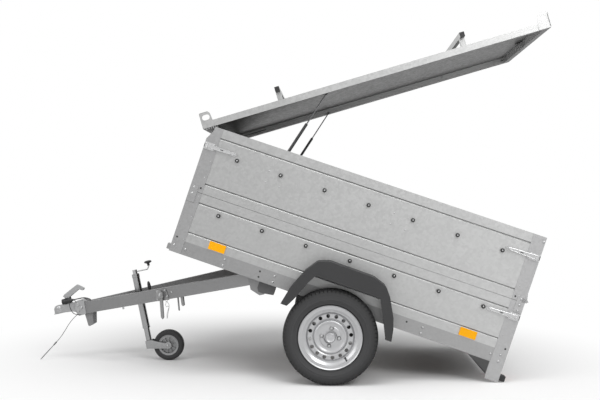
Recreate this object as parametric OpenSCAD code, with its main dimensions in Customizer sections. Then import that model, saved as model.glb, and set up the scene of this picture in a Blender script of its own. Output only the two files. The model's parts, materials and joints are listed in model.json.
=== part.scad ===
// Tipping utility trailer with board sides, a hinged steel lid and a V drawbar.
// The box, its axle and its wheels tip about the rear ends of the drawbar.
// +X points to the coupling, +Y to the left side, +Z up. The floor is z = 0.

/* [Box] */
// Length of the box over its corner posts
box_l = 2058; // [1600:1:2600]
// Width of the box over its corner posts
box_w = 1134; // [900:1:1400]
// Height of the floor frame's rails
rail_h = 80; // [70:1:120]
// Sheet thickness of the floor frame
rail_t = 2.5; // [2:0.5:5]
// Width of the rails' flanges
rail_flange = 30; // [20:1:40]
// Height of the lower boards
lower_h = 298; // [200:1:400]
// Height of the upper boards
upper_h = 397; // [200:1:500]
// Sheet thickness of the boards
board_t = 1.5; // [1:0.5:3]
// Depth of the pressed beads in the boards
bead_d = 5; // [2:0.5:8]
// Width of the pressed beads in the boards
bead_w = 12; // [6:1:20]
// Width of the boards' folded edges
hem = 14; // [8:1:18]
// Width of a corner post's side plate
post_w = 80; // [60:1:110]
// Sheet thickness of the corner posts
post_t = 2; // [1.5:0.5:4]
// Width of a corner post's inner return
post_return = 40; // [25:1:60]
// How far the rear posts reach below the rails
foot_h = 105; // [60:1:140]
// Thickness of the plywood floor
floor_t = 9; // [6:1:21]
// Depth of the boards that close the ends
end_board_d = 20; // [12:1:25]
// Clearance round a board that swings
swing_gap = 6; // [5:0.5:10]

/* [Running gear] */
// Distance of the wheel axis behind the front of the box
axle_back = 1057; // [800:1:1400]
// Distance of the wheel axis below the rails
axle_drop = 155; // [120:1:220]
// Outer diameter of a tyre
tyre_d = 546; // [450:1:620]
// Width of a tyre
tyre_w = 135; // [120:1:185]
// Diameter of a rim over its flanges
rim_d = 365; // [280:1:400]
// Gap between the side of the box and a tyre
wheel_gap = 8.5; // [8:0.5:60]
// Ventilation holes in a wheel
rim_holes = 16; // [8:1:24]
// Side of the square axle tube
axle_tube = 60; // [40:1:80]

/* [Drawbar] */
// Distance of the tipping pivot behind the front of the box
pivot_back = 585; // [500:1:750]
// Distance of the tipping pivot below the rails
pivot_drop = 45; // [40:1:60]
// Height of a drawbar arm
arm_h = 75; // [50:1:90]
// Width of a drawbar arm
arm_w = 40; // [30:1:60]
// Wall of a drawbar arm
arm_t = 3; // [2:0.5:5]
// Height of the arms' middle over the tipping pivot
arm_lift = 71; // [60:1:80]
// Distance from the tipping pivot to the coupling's bolts
drawbar_l = 1264; // [1000:1:1700]
// Radius of the tipping pins
tip_pin_r = 8; // [6:0.5:12]
// Radius of the tow ball that the coupling takes
ball_r = 25; // [25:0.1:30]

/* [Jockey wheel] */
// Distance of the jockey tube in front of the tipping pivot
jockey_s = 859; // [700:1:1100]
// Diameter of the outer tube
jockey_tube_d = 48; // [40:1:60]
// Diameter of the inner tube
inner_tube_d = 38; // [30:1:42]
// Height of the outer tube's top over the tipping pivot's level
jockey_top = 220; // [180:1:280]
// Length of the outer tube
jockey_tube_l = 365; // [300:1:450]
// Wheel centre below the tipping pivot's level
jockey_drop = 283; // [250:1:350]
// Wheel centre behind the tube's axis
jockey_trail = 125; // [125:1:150]
// Diameter of the jockey wheel
jockey_d = 200; // [160:1:202]
// Width of the jockey wheel
jockey_w = 50; // [40:1:80]

/* [Lid] */
// Opening angle of the lid from the box
lid_open = 34.7; // [0:0.1:45]
// How far the lid reaches past the front of the box
lid_front = 45; // [20:1:60]
// Depth of the lid's rails
lid_rail_h = 38; // [30:1:60]
// Width of the lid's rails
lid_rail_w = 40; // [30:1:60]
// Wall of the lid's rails
lid_rail_t = 1.5; // [1:0.5:3]
// Thickness of the lid's sheet
lid_sheet_t = 1; // [0.8:0.1:2]
// Lid underside over the hinge axis
lid_raise = 6; // [5:0.5:10]
// Distance of the lid's hinge axis behind the front of the box
hinge_u = 30; // [20:1:60]

/* [Hidden] */
$fn = 48;

zinc = [0.72, 0.73, 0.73];
zinc_dark = [0.6, 0.61, 0.61];
black = [0.12, 0.12, 0.13];
guard_grey = [0.25, 0.25, 0.26];
silver = [0.78, 0.79, 0.8];
orange = [1, 0.62, 0.08];
red = [0.75, 0.06, 0.05];
ply = [0.5, 0.36, 0.25];

tyre_r = tyre_d / 2;
half_w = box_w / 2;
track_half = half_w + wheel_gap + tyre_w / 2;
web_y = half_w - post_t;
board_in = web_y - board_t;
lower_top = rail_h + lower_h;
upper_z = lower_top + 2;
box_top = upper_z + upper_h;
// the box stands on its wheels and on the feet of its rear posts
foot_du = box_l - axle_back;
foot_dv = axle_drop - foot_h;
tilt = asin(tyre_r / norm([foot_du, foot_dv])) + atan2(foot_dv, foot_du);
axle_x = -310;
box_x = axle_x + axle_back * cos(tilt) - axle_drop * sin(tilt);
box_z = tyre_r + axle_back * sin(tilt) + axle_drop * cos(tilt);
tip_x = box_x - pivot_back * cos(tilt) + pivot_drop * sin(tilt);
tip_z = box_z - pivot_back * sin(tilt) - pivot_drop * cos(tilt);
// the drawbar slopes down until its jockey wheel stands on the floor
jockey_r = jockey_d / 2;
wheel_s = jockey_s - jockey_trail;
nose_down = asin((tip_z - jockey_r) / norm([wheel_s, jockey_drop])) - atan2(jockey_drop, wheel_s);
hinge_v = box_top;
lid_tail = box_l - hinge_u;
lid_nose = lid_front + hinge_u;

module in_box() { translate([box_x, 0, box_z]) rotate([0, -tilt, 0]) children(); }
module in_lid() { in_box() translate([-hinge_u, 0, hinge_v]) rotate([0, lid_open, 0]) children(); }
module in_drawbar() { translate([tip_x, 0, tip_z]) rotate([0, nose_down, 0]) children(); }
module both_sides() {
    children();
    mirror([0, 1, 0]) children();
}
// a (y, z) outline drawn out along x
module along_x(x0, len) { translate([x0, 0, 0]) rotate([90, 0, 90]) linear_extrude(len) children(); }
// an (x, z) outline drawn out along y
module along_y(y0, len) { translate([0, y0 + len, 0]) rotate([90, 0, 0]) linear_extrude(len) children(); }
module bar(x0, x1, y0, y1, z0, z1) { translate([x0, y0, z0]) cube([x1 - x0, y1 - y0, z1 - z0]); }

// Boards of folded sheet

// heights of the two beads of a board, from its edges
bead_low = 56;
bead_high = 59;
function beads(z0, z1) = [z0 + bead_low, z1 - bead_high];
function skin(z0, z1, d) = concat(
    [[-d, z0]],
    [for (b = beads(z0, z1)) each [[-d, b - bead_w / 2], [-d - bead_d, b], [-d, b + bead_w / 2]]],
    [[-d, z1]]
);
function reverse(v) = [for (i = [len(v) - 1:-1:0]) v[i]];
// section of a board: beaded sheet with an inward fold at its foot and head
module board_section(z0, z1, fold) {
    inner = skin(z0 + board_t, z1 - board_t, board_t);
    polygon(concat(skin(z0, z1, 0), [[-fold, z1], [-fold, z1 - board_t]], reverse(inner),
        [[-fold, z0 + board_t], [-fold, z0]]));
}
return_u = swing_gap + end_board_d + 2;
side_u0 = return_u + post_t;
side_u1 = box_l - return_u - post_t;

module side_boards(z0, z1) {
    both_sides() along_x(-side_u1, side_u1 - side_u0) translate([web_y, 0]) board_section(z0, z1, hem);
}
module side_boards_lower() { color(zinc) in_box() side_boards(rail_h, lower_top); }
module side_boards_upper() { color(zinc) in_box() side_boards(upper_z, box_top); }

end_half = web_y - swing_gap;
// a board across an end of the box, its face at distance u from the front
module end_board(z0, z1, half) {
    difference() {
        translate([0, half, 0]) rotate([90, 0, 0]) linear_extrude(2 * half)
            polygon([for (p = concat(skin(z0, z1, 0), [[-end_board_d, z1], [-end_board_d, z0]])) p]);
        bar(-end_board_d - 1, -bead_d - board_t, -half + board_t, half - board_t, z0 + board_t, z1 - board_t);
    }
}
front_top = box_top - 78;
module front_board_lower() {
    color(zinc) in_box() translate([-swing_gap - 2, 0, 0]) end_board(rail_h, lower_top, web_y);
}
module front_board_upper() {
    color(zinc) in_box() translate([-2, 0, 0])
        end_board(upper_z + swing_gap, front_top, end_half);
    color(zinc_dark) in_box() board_hinges(upper_pin_v) hinge_ear(2, ear_half);
}
module rear_board(z0, z1) {
    translate([-box_l + 2, 0, 0]) mirror([1, 0, 0]) end_board(z0, z1, end_half);
}
// Hinges of the boards: pins that stand out past the posts' faces
pin_out = 8;
pin_r = 5;
pin_fit = 0.05;
lower_pin_v = 55;
upper_pin_v = lower_top + 12;
hinge_y = half_w - 120;
hinge_half = 24;
ear_half = 14;
// the upper tailgate turns on pins held by the corner posts
corner_pin_y = half_w - 20;
module board_hinges(v, y = hinge_y) {
    both_sides() translate([pin_out, y, v]) children();
}
module at_rear() { translate([-box_l, 0, 0]) mirror([1, 0, 0]) children(); }
// the swinging half of a hinge: an ear round the pin, its pad welded to the face of its board
module hinge_ear(pad_z, half) {
    along_y(-half, 2 * half) difference() {
        union() {
            circle(pin_r + 4);
            polygon([[-7, 0], [-7, pad_z], [-pin_out - 3, pad_z], [-pin_out - 3, pad_z + 40],
                [-4, pad_z + 40], [5, 0]]);
        }
        circle(pin_r + pin_fit);
    }
}
// the fixed half: a pin between two cheeks on the frame or on the board below
module hinge_pin(base, z0, z1) {
    rotate([-90, 0, 0]) translate([0, 0, -hinge_half]) cylinder(r = pin_r, h = 2 * hinge_half);
    for (y = [-hinge_half, hinge_half - 6]) along_y(y, 6) polygon([
        [-base, z0], [-base, z1], [-5, z1 + 2], [-5, 4], [0, 8], [8, 0], [0, -8], [8 - base, z0]]);
}
module tailgate_lower() {
    color(zinc) in_box() rear_board(rail_h + swing_gap, lower_top - swing_gap / 2);
    color(zinc_dark) in_box() at_rear() board_hinges(lower_pin_v) hinge_ear(33, ear_half);
}
module tailgate_upper() {
    color(zinc) in_box() rear_board(lower_top + swing_gap / 2 + 1, box_top - 6);
    color(zinc_dark) in_box() at_rear() board_hinges(upper_pin_v, corner_pin_y) hinge_ear(2, 9);
}

// Floor frame and corner posts

function channel(h, f, t) = [[0, 0], [0, h], [-f, h], [-f, h - t], [-t, h - t], [-t, t], [-f, t], [-f, 0]];
cross_half = web_y - rail_t;
module cross_member(u) {
    along_y(-cross_half, 2 * cross_half) translate([-u, 0]) polygon(channel(rail_h, rail_flange, rail_t));
}
// plan of the arms: straight at the pivots, then together until they meet at the coupling
arm_back_y = half_w - 77;
arm_bend_s = 62;
arm_meet_s = drawbar_l - 60;
coupling_half = 22;
arm_nose_y = coupling_half + arm_w / 2;
arm_angle = atan2(arm_back_y - arm_nose_y, arm_meet_s - arm_bend_s);
function arm_y(s) = arm_back_y - (s - arm_bend_s) * tan(arm_angle);
notch_w = arm_w / cos(arm_angle) + rail_flange * tan(arm_angle) + 3 * swing_gap;
module floor_frame() {
    color(zinc_dark) in_box() {
        both_sides() along_x(-box_l + 2, box_l - 4) translate([web_y, 0])
            polygon(channel(rail_h, rail_flange, rail_t));
        difference() {
            cross_member(2);
            both_sides() bar(-60, 10, arm_y(pivot_back - 17) - notch_w / 2,
                arm_y(pivot_back - 17) + notch_w / 2, -1, rail_h - rail_t);
        }
        for (u = [beam_u, axle_back + 60, box_l - 508]) cross_member(u);
        at_rear() cross_member(2);
    }
}
module floor_panel() {
    color(ply) in_box() bar(-side_u1 + 1, -side_u0 - 1, -board_in + 1, board_in - 1,
        rail_h + board_t, rail_h + board_t + floor_t);
}
// a corner post's side plate, seen from the side, front of the box at x = 0
module post_lower_outline(foot) {
    polygon(foot > 0
        ? [[0, -foot], [post_w, -foot], [post_w + 4, -foot + 30], [post_w + 136, 0], [post_w, 0],
            [post_w, lower_top], [0, lower_top]]
        : [[0, 0], [post_w - 8, 0], [post_w, lower_top], [0, lower_top]]);
}
chamfer_h = 82;
chamfer_w = 41;
module post_pair(foot, top) {
    both_sides() {
        along_y(web_y, post_t) mirror([1, 0])
            if (top) polygon([[0, upper_z], [post_w, upper_z], [post_w, box_top],
                [foot > 0 ? 0 : chamfer_w, box_top], [0, box_top - (foot > 0 ? 0 : chamfer_h)]]);
            else post_lower_outline(foot);
        z0 = top ? upper_z : rail_h;
        z1 = top ? (foot > 0 ? box_top : box_top - chamfer_h) : lower_top;
        bar(-return_u - post_t, -return_u, web_y - post_return, web_y + 1, z0, z1);
        if (foot > 0 && !top)
            bar(-return_u - post_t, -return_u, web_y - post_return, web_y + 1, -foot, 0);
    }
}
module posts(top) {
    post_pair(0, top);
    translate([-box_l, 0, 0]) mirror([1, 0, 0]) post_pair(foot_h, top);
}
module posts_lower() { color(zinc_dark) in_box() posts(false); }
// cheeks that carry the lid's hinge pins, on the front posts' returns
lid_hinge_y = half_w - 27;
module lid_cheeks() {
    both_sides() translate([-hinge_u, lid_hinge_y, hinge_v]) {
        for (y = [-10, 6]) along_y(y, 4) polygon([
            [return_u - hinge_u + 5, -chamfer_h - 20], [-10, -chamfer_h - 20], [-10, -3], [-4, 4.5], [3, 4.5],
            [7, 0], [7, -30], [return_u - hinge_u + 5, -44]]);
        rotate([-90, 0, 0]) translate([0, 0, -10]) cylinder(r = pin_r, h = 20);
    }
}
module posts_upper() {
    color(zinc_dark) in_box() {
        posts(true);
        lid_cheeks();
    }
}

// Fittings on the box

module rounded(w, h, r) { offset(r) square([w - 2 * r, h - 2 * r], center = true); }
knob_u0 = 215;
knob_n = 7;
knob_end = 219;
knob_pitch = (box_l - knob_u0 - knob_end) / (knob_n - 1);
knob_lower_v = rail_h + 205;
knob_upper_v = upper_z + 247;
knob_r = 12;
module tarp_knobs() {
    color(black) in_box() both_sides()
        for (v = [knob_lower_v, knob_upper_v], i = [0:knob_n - 1])
            translate([-(knob_u0 + i * knob_pitch), web_y, v]) rotate([-90, 0, 0])
                rotate_extrude($fn = 24)
                    polygon([[0, 0], [6, 0], [6, 5], [knob_r, 8], [knob_r, 14], [8, 17], [0, 17]]);
}
// toggle latch: a bridge of two cheeks on the post, and a lever that tapers to its hook on the board
latch_l = 205;
latch_plate = 64;
latch_h = 42;
cheek_h = 17;
lever_y = 11;
module latch(sgn) {
    scale([-sgn, 1, 1]) {
        along_y(0, 2.5) translate([latch_plate / 2, 0]) rounded(latch_plate, latch_h, 5);
        for (z = [-13, 10]) translate([0, 0, z]) linear_extrude(3) polygon([
            [6, 2], [10, cheek_h], [32, cheek_h], [60, 9], [latch_plate - 2, 2]]);
        translate([20, lever_y + 2, -13]) cylinder(r = 3, h = 26, $fn = 24);
        along_y(lever_y, 3) polygon([[14, -9], [14, 9], [70, 8], [latch_l - 12, 4.5], [latch_l, 3],
            [latch_l, -3], [latch_l - 12, -4.5], [70, -8]]);
        bar(latch_l - 22, latch_l - 16, -post_t, lever_y + 1, -3, 3);
        along_y(-post_t, 2) translate([latch_l - 22, 0]) rounded(30, 22, 4);
    }
}
latch_up = 277;
latch_rear_up = 270;
latch_upper_v = upper_z + latch_up;
latch_rear_v = upper_z + latch_rear_up;
latch_lower_v = rail_h + 206;
module latches() {
    color(silver) in_box() both_sides() {
        translate([0, half_w, latch_upper_v]) latch(1);
        for (v = [latch_lower_v, latch_rear_v]) translate([-box_l, half_w, v]) latch(-1);
    }
}
reflector_l = 100;
reflector_h = 48;
reflector_u = 216;
module reflectors() {
    color(orange) in_box() both_sides()
        for (u = [reflector_u, box_l - reflector_u - reflector_l + 14])
            along_y(web_y, 6) translate([-u - reflector_l / 2, rail_h + 28])
                rounded(reflector_l, reflector_h, 3);
}
// a folded beam between the rear posts carries the lamps
lamp_v = -foot_h + 10;
lamp_h = 70;
lamp_w = 200;
lamp_d = 26;
module lamp_beam() {
    color(zinc_dark) in_box() at_rear() along_y(-web_y, 2 * web_y)
        translate([-return_u - post_t, lamp_v]) polygon(channel(lamp_h, rail_flange, 2));
}
module rear_lamps() {
    color(red) in_box() at_rear() both_sides()
        translate([-return_u - post_t, web_y - post_return - lamp_w / 2 - 8, lamp_v + lamp_h / 2])
            rotate([90, 0, 90]) linear_extrude(lamp_d) rounded(lamp_w, lamp_h - 2, 8);
}
buffer_w = 60;
buffer_h = 36;
buffer_d = 34;
// rubber buffers behind the feet of the rear posts
module rear_buffers() {
    color(black) in_box() at_rear() both_sides()
        translate([0, web_y + post_t - buffer_w / 2, -foot_h + buffer_d * tan(tilt) + buffer_h / 2])
            rotate([90, 0, 90]) linear_extrude(buffer_d, scale = 0.9) rounded(buffer_w, buffer_h, 6);
}

// Axle, suspension and mudguards

arm_back = 105;
axle_pad = 5;
axle_mid_v = -axle_tube / 2 - axle_pad;
axle_end = half_w - 42;
module axle_beam() {
    color(zinc_dark) in_box() {
        along_y(-axle_end, 2 * axle_end) translate([-axle_back + arm_back, axle_mid_v])
            difference() {
                square(axle_tube, center = true);
                square(axle_tube - 8, center = true);
            }
        // seats under the side rails
        both_sides() bar(-axle_back + arm_back - axle_tube, -axle_back + arm_back + axle_tube,
            axle_end - 24, half_w - 5, -axle_pad - 1, 0);
    }
}
stub_r = 14;
trailing_t = 18;
module swing_arms() {
    color(zinc_dark) in_box() both_sides() {
        translate([0, axle_end, 0]) rotate([-90, 0, 0]) linear_extrude(trailing_t) hull() {
            translate([-axle_back + arm_back, -axle_mid_v]) circle(axle_tube / 2 - 2);
            translate([-axle_back, axle_drop]) circle(26);
        }
        translate([-axle_back, axle_end + trailing_t - 1, -axle_drop]) rotate([-90, 0, 0])
            cylinder(r = stub_r, h = track_half - axle_end - trailing_t + 27);
    }
}
guard_out = tyre_w + wheel_gap + 8;
guard_t = 4;
guard_r = 30;
guard_foot = 93;
// outlines of a mudguard, x rearwards and z up from the wheel's axis
guard_clear = tyre_r - 273;
guard_outer = [[-329, 95], [-306, 195], [-256, 314], [-205, 385], [-139, 408], [129, 404], [205, 378],
    [243, 331], [299, 225], [320, 161], [331, 94]];
guard_inner = [[-305, 70], [-279, 115], [-261, 151], [-219, 255], [-190, 307], [194, 304], [243, 206],
    [289, 106], [300, 60]];
module guard_outline(d) {
    offset(guard_r) offset(delta = -guard_r - d) polygon(concat([for (q = guard_outer)
        q + [sign(q[0]), 1] * guard_clear], [[331, -160], [-329, -160]]));
}
module below_guard() { translate([-400, -300]) square([800, 300 + guard_foot]); }
module guard_side() {
    offset(6) offset(delta = -6) difference() {
        guard_outline(0);
        polygon(concat([for (q = guard_inner) q + [sign(q[0]), 1] * guard_clear],
            [[300, -200], [-305, -200]]));
        below_guard();
    }
}
module mudguards() {
    color(guard_grey) in_box() both_sides() translate([-axle_back, 0, -axle_drop]) mirror([1, 0, 0]) {
        along_y(web_y, guard_out - guard_t + 1) difference() {
            guard_outline(0);
            guard_outline(guard_t);
            below_guard();
        }
        along_y(web_y + guard_out - guard_t, guard_t) guard_side();
    }
}

// Wheels, in their own frame: axis along +Y, outer face towards +Y

module wheel_place(side) {
    translate([axle_x, side * track_half, tyre_r]) scale([1, side, 1]) children();
}
module spin_y() { rotate([-90, 0, 0]) rotate_extrude($fn = 96) children(); }
rim_r = rim_d / 2;
bead_seat = 165;
half_t = tyre_w / 2;
seat_y = 50;
rim_t = 3;
module tyre() {
    half = [[bead_seat + 0.3, seat_y - 0.3], [rim_r + 1, seat_y - 0.3], [rim_r + 12, half_t - 9],
        [tyre_r - 60, half_t - 1], [tyre_r - 42, half_t], [tyre_r - 22, half_t - 4],
        [tyre_r - 8, half_t - 13], [tyre_r - 2, half_t - 24], [tyre_r, half_t - 34]];
    inner = [[tyre_r - 12, half_t - 40], [tyre_r - 22, half_t - 20], [tyre_r - 45, half_t - 9],
        [rim_r + 14, half_t - 18], [rim_r, seat_y - 10], [bead_seat + 0.3, seat_y - 12]];
    function flip(v) = [for (p = reverse(v)) [p[0], -p[1]]];
    spin_y() polygon(concat(half, flip(half), flip(inner), inner));
}
bolt_circle = 100;
hole_ring_r = 119;
hole_r = 11;
// how far the patterns of holes and of studs are turned from the wheel's level line
hole_turn = 5.8;
stud_turn = -8;
module rim_barrel() {
    barrel = [[rim_r, seat_y + 5], [rim_r - 4, seat_y], [bead_seat, seat_y], [bead_seat, 36],
        [150, 27], [150, -20], [bead_seat, -36], [bead_seat, -seat_y], [rim_r - 4, -seat_y],
        [rim_r, -seat_y - 5]];
    under = [[rim_r, -seat_y - 8], [rim_r - 6, -seat_y - rim_t], [bead_seat - rim_t, -seat_y - rim_t],
        [bead_seat - rim_t, -35], [147, -19], [147, 26], [bead_seat - rim_t, 35],
        [bead_seat - rim_t, seat_y + rim_t], [rim_r - 6, seat_y + rim_t], [rim_r, seat_y + 8]];
    spin_y() polygon(concat(barrel, under));
}
module rim_disc() {
    spin_y() polygon([[148.5, 18], [140, 17], [130, 24], [108, 27], [97, 22], [88, 28], [60, 30], [30.5, 30],
        [30.5, 26.5], [60, 26.5], [86, 24.5], [97, 18.5], [108, 23.5], [128, 20.5], [139, 13.5],
        [148.5, 14]]);
}
module rim() {
    rim_barrel();
    difference() {
        rim_disc();
        for (i = [0:rim_holes - 1]) rotate([0, hole_turn + i * 360 / rim_holes, 0]) translate([hole_ring_r, 0, 0])
            rotate([-90, 0, 0]) cylinder(r = hole_r, h = 60);
        for (i = [0:3]) rotate([0, stud_turn + 90 * i, 0]) translate([bolt_circle / 2, 0, 0])
            rotate([-90, 0, 0]) cylinder(r = 6, h = 60);
    }
}
module hub() {
    spin_y() polygon([[stub_r + pin_fit, -28], [48, -28], [48, 10], [62, 14], [62, 26.2], [30, 26.2],
        [30, 48], [26, 56], [0, 56], [0, 40], [stub_r + pin_fit, 40]]);
    for (i = [0:3]) rotate([0, stud_turn + 90 * i, 0]) translate([bolt_circle / 2, 0, 0])
        rotate([-90, 0, 0]) cylinder(r = 5.5, h = 38, $fn = 24);
}
module tyre_left() { color(black) wheel_place(1) tyre(); }
module tyre_right() { color(black) wheel_place(-1) tyre(); }
module rim_left() { color(silver) wheel_place(1) rim(); }
module rim_right() { color(silver) wheel_place(-1) rim(); }
module hub_left() { color(zinc_dark) wheel_place(1) hub(); }
module hub_right() { color(zinc_dark) wheel_place(-1) hub(); }

// Tipping pivot

bracket_t = 4;
bracket_gap = 2;
ear_t = 6;
beam_u = pivot_back + 45;
module pivot_brackets() {
    color(zinc_dark) in_box() both_sides() {
        for (y = [arm_w / 2 + bracket_gap, -arm_w / 2 - bracket_gap - bracket_t])
            along_y(arm_back_y + y, bracket_t) translate([-pivot_back, 0]) polygon([
                [22, rail_h], [22, -pivot_drop], [10, -pivot_drop - 21], [-14, -pivot_drop - 23],
                [-82, -pivot_drop - 12], [-82, 0], [-45, 0], [-45, rail_h]]);
        translate([-pivot_back, arm_back_y - arm_w / 2 - 6, -pivot_drop]) rotate([-90, 0, 0])
            cylinder(r = tip_pin_r, h = arm_w + 12);
    }
}

// Drawbar, in its own frame: the tipping pivot at the origin, the arms' middle at z = arm_lift

arm_tip = drawbar_l + 18;
arm_tail = -35;
// plan of an arm between two offsets from its middle line
module arm_plan(w0, w1, s0, s1) {
    shift = tan(arm_angle / 2);
    polygon([[s0, arm_back_y + w0], [arm_bend_s + w0 * shift, arm_back_y + w0],
        [arm_meet_s + w0 * shift, arm_nose_y + w0], [s1, arm_nose_y + w0],
        [s1, arm_nose_y + w1], [arm_meet_s + w1 * shift, arm_nose_y + w1],
        [arm_bend_s + w1 * shift, arm_back_y + w1], [s0, arm_back_y + w1]]);
}
module arm_tube() {
    difference() {
        translate([0, 0, arm_lift - arm_h / 2]) linear_extrude(arm_h)
            arm_plan(-arm_w / 2, arm_w / 2, arm_tail, arm_tip);
        translate([0, 0, arm_lift - arm_h / 2 + arm_t]) linear_extrude(arm_h - 2 * arm_t)
            arm_plan(-arm_w / 2 + arm_t, arm_w / 2 - arm_t, arm_tail - 1, arm_tip + 1);
        // rounded front end
        along_y(0, 2 * arm_w) translate([arm_tip - arm_h / 3, arm_lift]) difference() {
            translate([0, -arm_h]) square(2 * arm_h);
            scale([2 / 3, 1]) circle(arm_h / 2);
        }
    }
}
module arm_ears() {
    difference() {
        for (y = [arm_back_y - arm_w / 2, arm_back_y + arm_w / 2 - ear_t]) along_y(y, ear_t)
            polygon([[arm_bend_s, arm_lift], [arm_bend_s, 7], [17, -37], [-12, -37], [arm_tail, -15],
                [arm_tail, arm_lift]]);
        translate([0, arm_back_y - arm_w, 0]) rotate([-90, 0, 0])
            cylinder(r = tip_pin_r + pin_fit, h = 2 * arm_w);
    }
}
module drawbar_arms() {
    color(zinc_dark) in_drawbar() {
        both_sides() {
            arm_tube();
            arm_ears();
        }
        bar(jockey_s + clamp_reach, jockey_s + clamp_reach + 6, -arm_y(jockey_s + 40), arm_y(jockey_s + 40),
            arm_lift - arm_h / 2 + 4, arm_lift + arm_h / 2 - 4);
        // lug of the safety cable
        along_y(35, 10) translate([drawbar_l, arm_lift - arm_h / 2])
            polygon([[-14, 2.5], [-14, -6], [6, -7], [13, -1], [13, 6], [6, 7]]);
    }
}
socket_s = drawbar_l + 142;
head_top = arm_lift + 50;
head_low = arm_lift - 5;
cup_r = 36;
socket_depth = 22;
cheek_y = arm_nose_y + arm_w / 2;
cheek_t = 4;
module coupling_head() {
    color(silver) in_drawbar() {
        // body between the arms
        along_y(-coupling_half, 2 * coupling_half) polygon([
            [drawbar_l - 56, arm_lift - 22], [drawbar_l - 40, head_top - 6], [drawbar_l - 24, head_top + 6],
            [drawbar_l + 8, head_top + 4], [drawbar_l + 24, head_top - 3], [socket_s - 30, head_top + 1],
            [socket_s - 30, head_low], [drawbar_l + 50, head_low - 5], [drawbar_l + 20, arm_lift - 22]]);
        // folded cover over the ends of the arms
        bar(drawbar_l - 50, drawbar_l - 2, -cheek_y - cheek_t + 1, cheek_y + cheek_t - 1,
            arm_lift + arm_h / 2, arm_lift + arm_h / 2 + 5);
        both_sides() along_y(cheek_y, cheek_t) offset(6) offset(delta = -6)
            translate([drawbar_l, arm_lift]) polygon([[-52, 46], [-27, 57], [-2, 54], [10, 30], [18, 4],
                [6, -28], [-24, -arm_h / 2 - 5], [-49, -arm_h / 2 - 3]]);
        // pressed head over the ball, with a lip round its mouth
        difference() {
            union() {
                intersection() {
                    translate([socket_s, 0, head_low]) rotate_extrude() polygon([
                        [0, 0], [cup_r + 5, 0], [cup_r + 5, 3], [cup_r, 6], [cup_r - 1, 36],
                        [cup_r - 8, 48], [cup_r - 18, 54], [0, 56]]);
                    bar(socket_s - 22, socket_s + 60, -60, 60, 0, 300);
                }
                intersection() {
                    along_y(-cup_r, 2 * cup_r) polygon([
                        [drawbar_l + 50, head_low - 2], [socket_s - 20, head_low],
                        [socket_s - 20, head_top], [drawbar_l + 50, head_top - 3]]);
                    linear_extrude(300) polygon([[drawbar_l + 50, -coupling_half],
                        [socket_s - 20, -cup_r + 6], [socket_s - 20, cup_r - 6],
                        [drawbar_l + 50, coupling_half]]);
                }
            }
            translate([socket_s, 0, head_low - 1]) cylinder(r = ball_r + 0.3, h = socket_depth + 1);
        }
    }
}
handle_half = 14;
module coupling_handle() {
    color(silver) in_drawbar() translate([drawbar_l, 0, arm_lift]) difference() {
        along_y(-handle_half, 2 * handle_half) polygon([
            [52, 48.6], [74, 49.6], [84, 82], [99, 101], [86, 112], [-6, 158], [-23, 147], [-49, 126],
            [-40, 113], [-13, 126], [56, 88]]);
        along_y(-handle_half + 2, 2 * handle_half - 4) polygon([
            [40, 40], [90, 40], [81, 83], [95, 100], [85, 109], [-6, 155], [-22, 144], [-52, 122],
            [-52, 100], [-10, 100], [40, 80]]);
    }
}
// folded bracket that hangs under the nose
front_bracket_t = 4;
module front_bracket() {
    color(zinc_dark) in_drawbar() {
        both_sides() along_y(arm_nose_y - front_bracket_t / 2, front_bracket_t)
            translate([drawbar_l - 87, arm_lift - arm_h / 2]) polygon([
                [0, 0], [54, 0], [47, -82], [38, -88], [16, -80]]);
        along_y(-arm_nose_y, 2 * arm_nose_y) translate([drawbar_l - 87, arm_lift - arm_h / 2])
            polygon([[16, -80], [38, -88], [37, -84], [17, -76]]);
    }
}

// Cables, as round tubes through hand-chosen points

cord_sides = 8;
function unit(v) = v / norm(v);
function cord_tangent(p, i) = unit(i == 0 ? p[1] - p[0] : i == len(p) - 1 ? p[i] - p[i - 1]
    : unit(p[i + 1] - p[i]) + unit(p[i] - p[i - 1]));
// each ring's first direction is carried over from the ring before it
function cord_sides_at(p, i) = i == 0
    ? unit(cross(cord_tangent(p, 0), abs(cord_tangent(p, 0)[1]) < 0.9 ? [0, 1, 0] : [1, 0, 0]))
    : let (t = cord_tangent(p, i), v = cord_sides_at(p, i - 1)) unit(v - t * (v * t));
function cord_ring(p, i, r) = let (t = cord_tangent(p, i), a = cord_sides_at(p, i), b = cross(t, a))
    [for (k = [0:cord_sides - 1]) p[i] + r * (cos(k * 360 / cord_sides) * a + sin(k * 360 / cord_sides) * b)];
module cord(p, r) {
    n = len(p);
    m = cord_sides;
    polyhedron(
        [for (i = [0:n - 1]) each cord_ring(p, i, r)],
        concat([[for (k = [0:m - 1]) k]], [for (i = [0:n - 2], k = [0:m - 1])
            [i * m + k, (i + 1) * m + k, (i + 1) * m + (k + 1) % m, i * m + (k + 1) % m]],
            [[for (k = [0:m - 1]) n * m - 1 - k]]),
        convexity = 6);
}
plug_r = 17;
plug_y = handle_half + 2 + plug_r;
plug_back = drawbar_l + 36;
plug_z = head_top + plug_r - 1;
module plug() {
    color(black) in_drawbar() translate([plug_back, plug_y, plug_z]) rotate([0, 90, 0]) {
        rotate_extrude($fn = 32) polygon([[0, -8], [7, -8], [8, 0], [13, 8], [plug_r, 14], [plug_r, 62],
            [13, 66], [0, 66]]);
        translate([0, 0, 40]) linear_extrude(8) translate([plug_r - 6, -8]) square([9, 16]);
    }
}
lead_r = 3.5;
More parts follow.
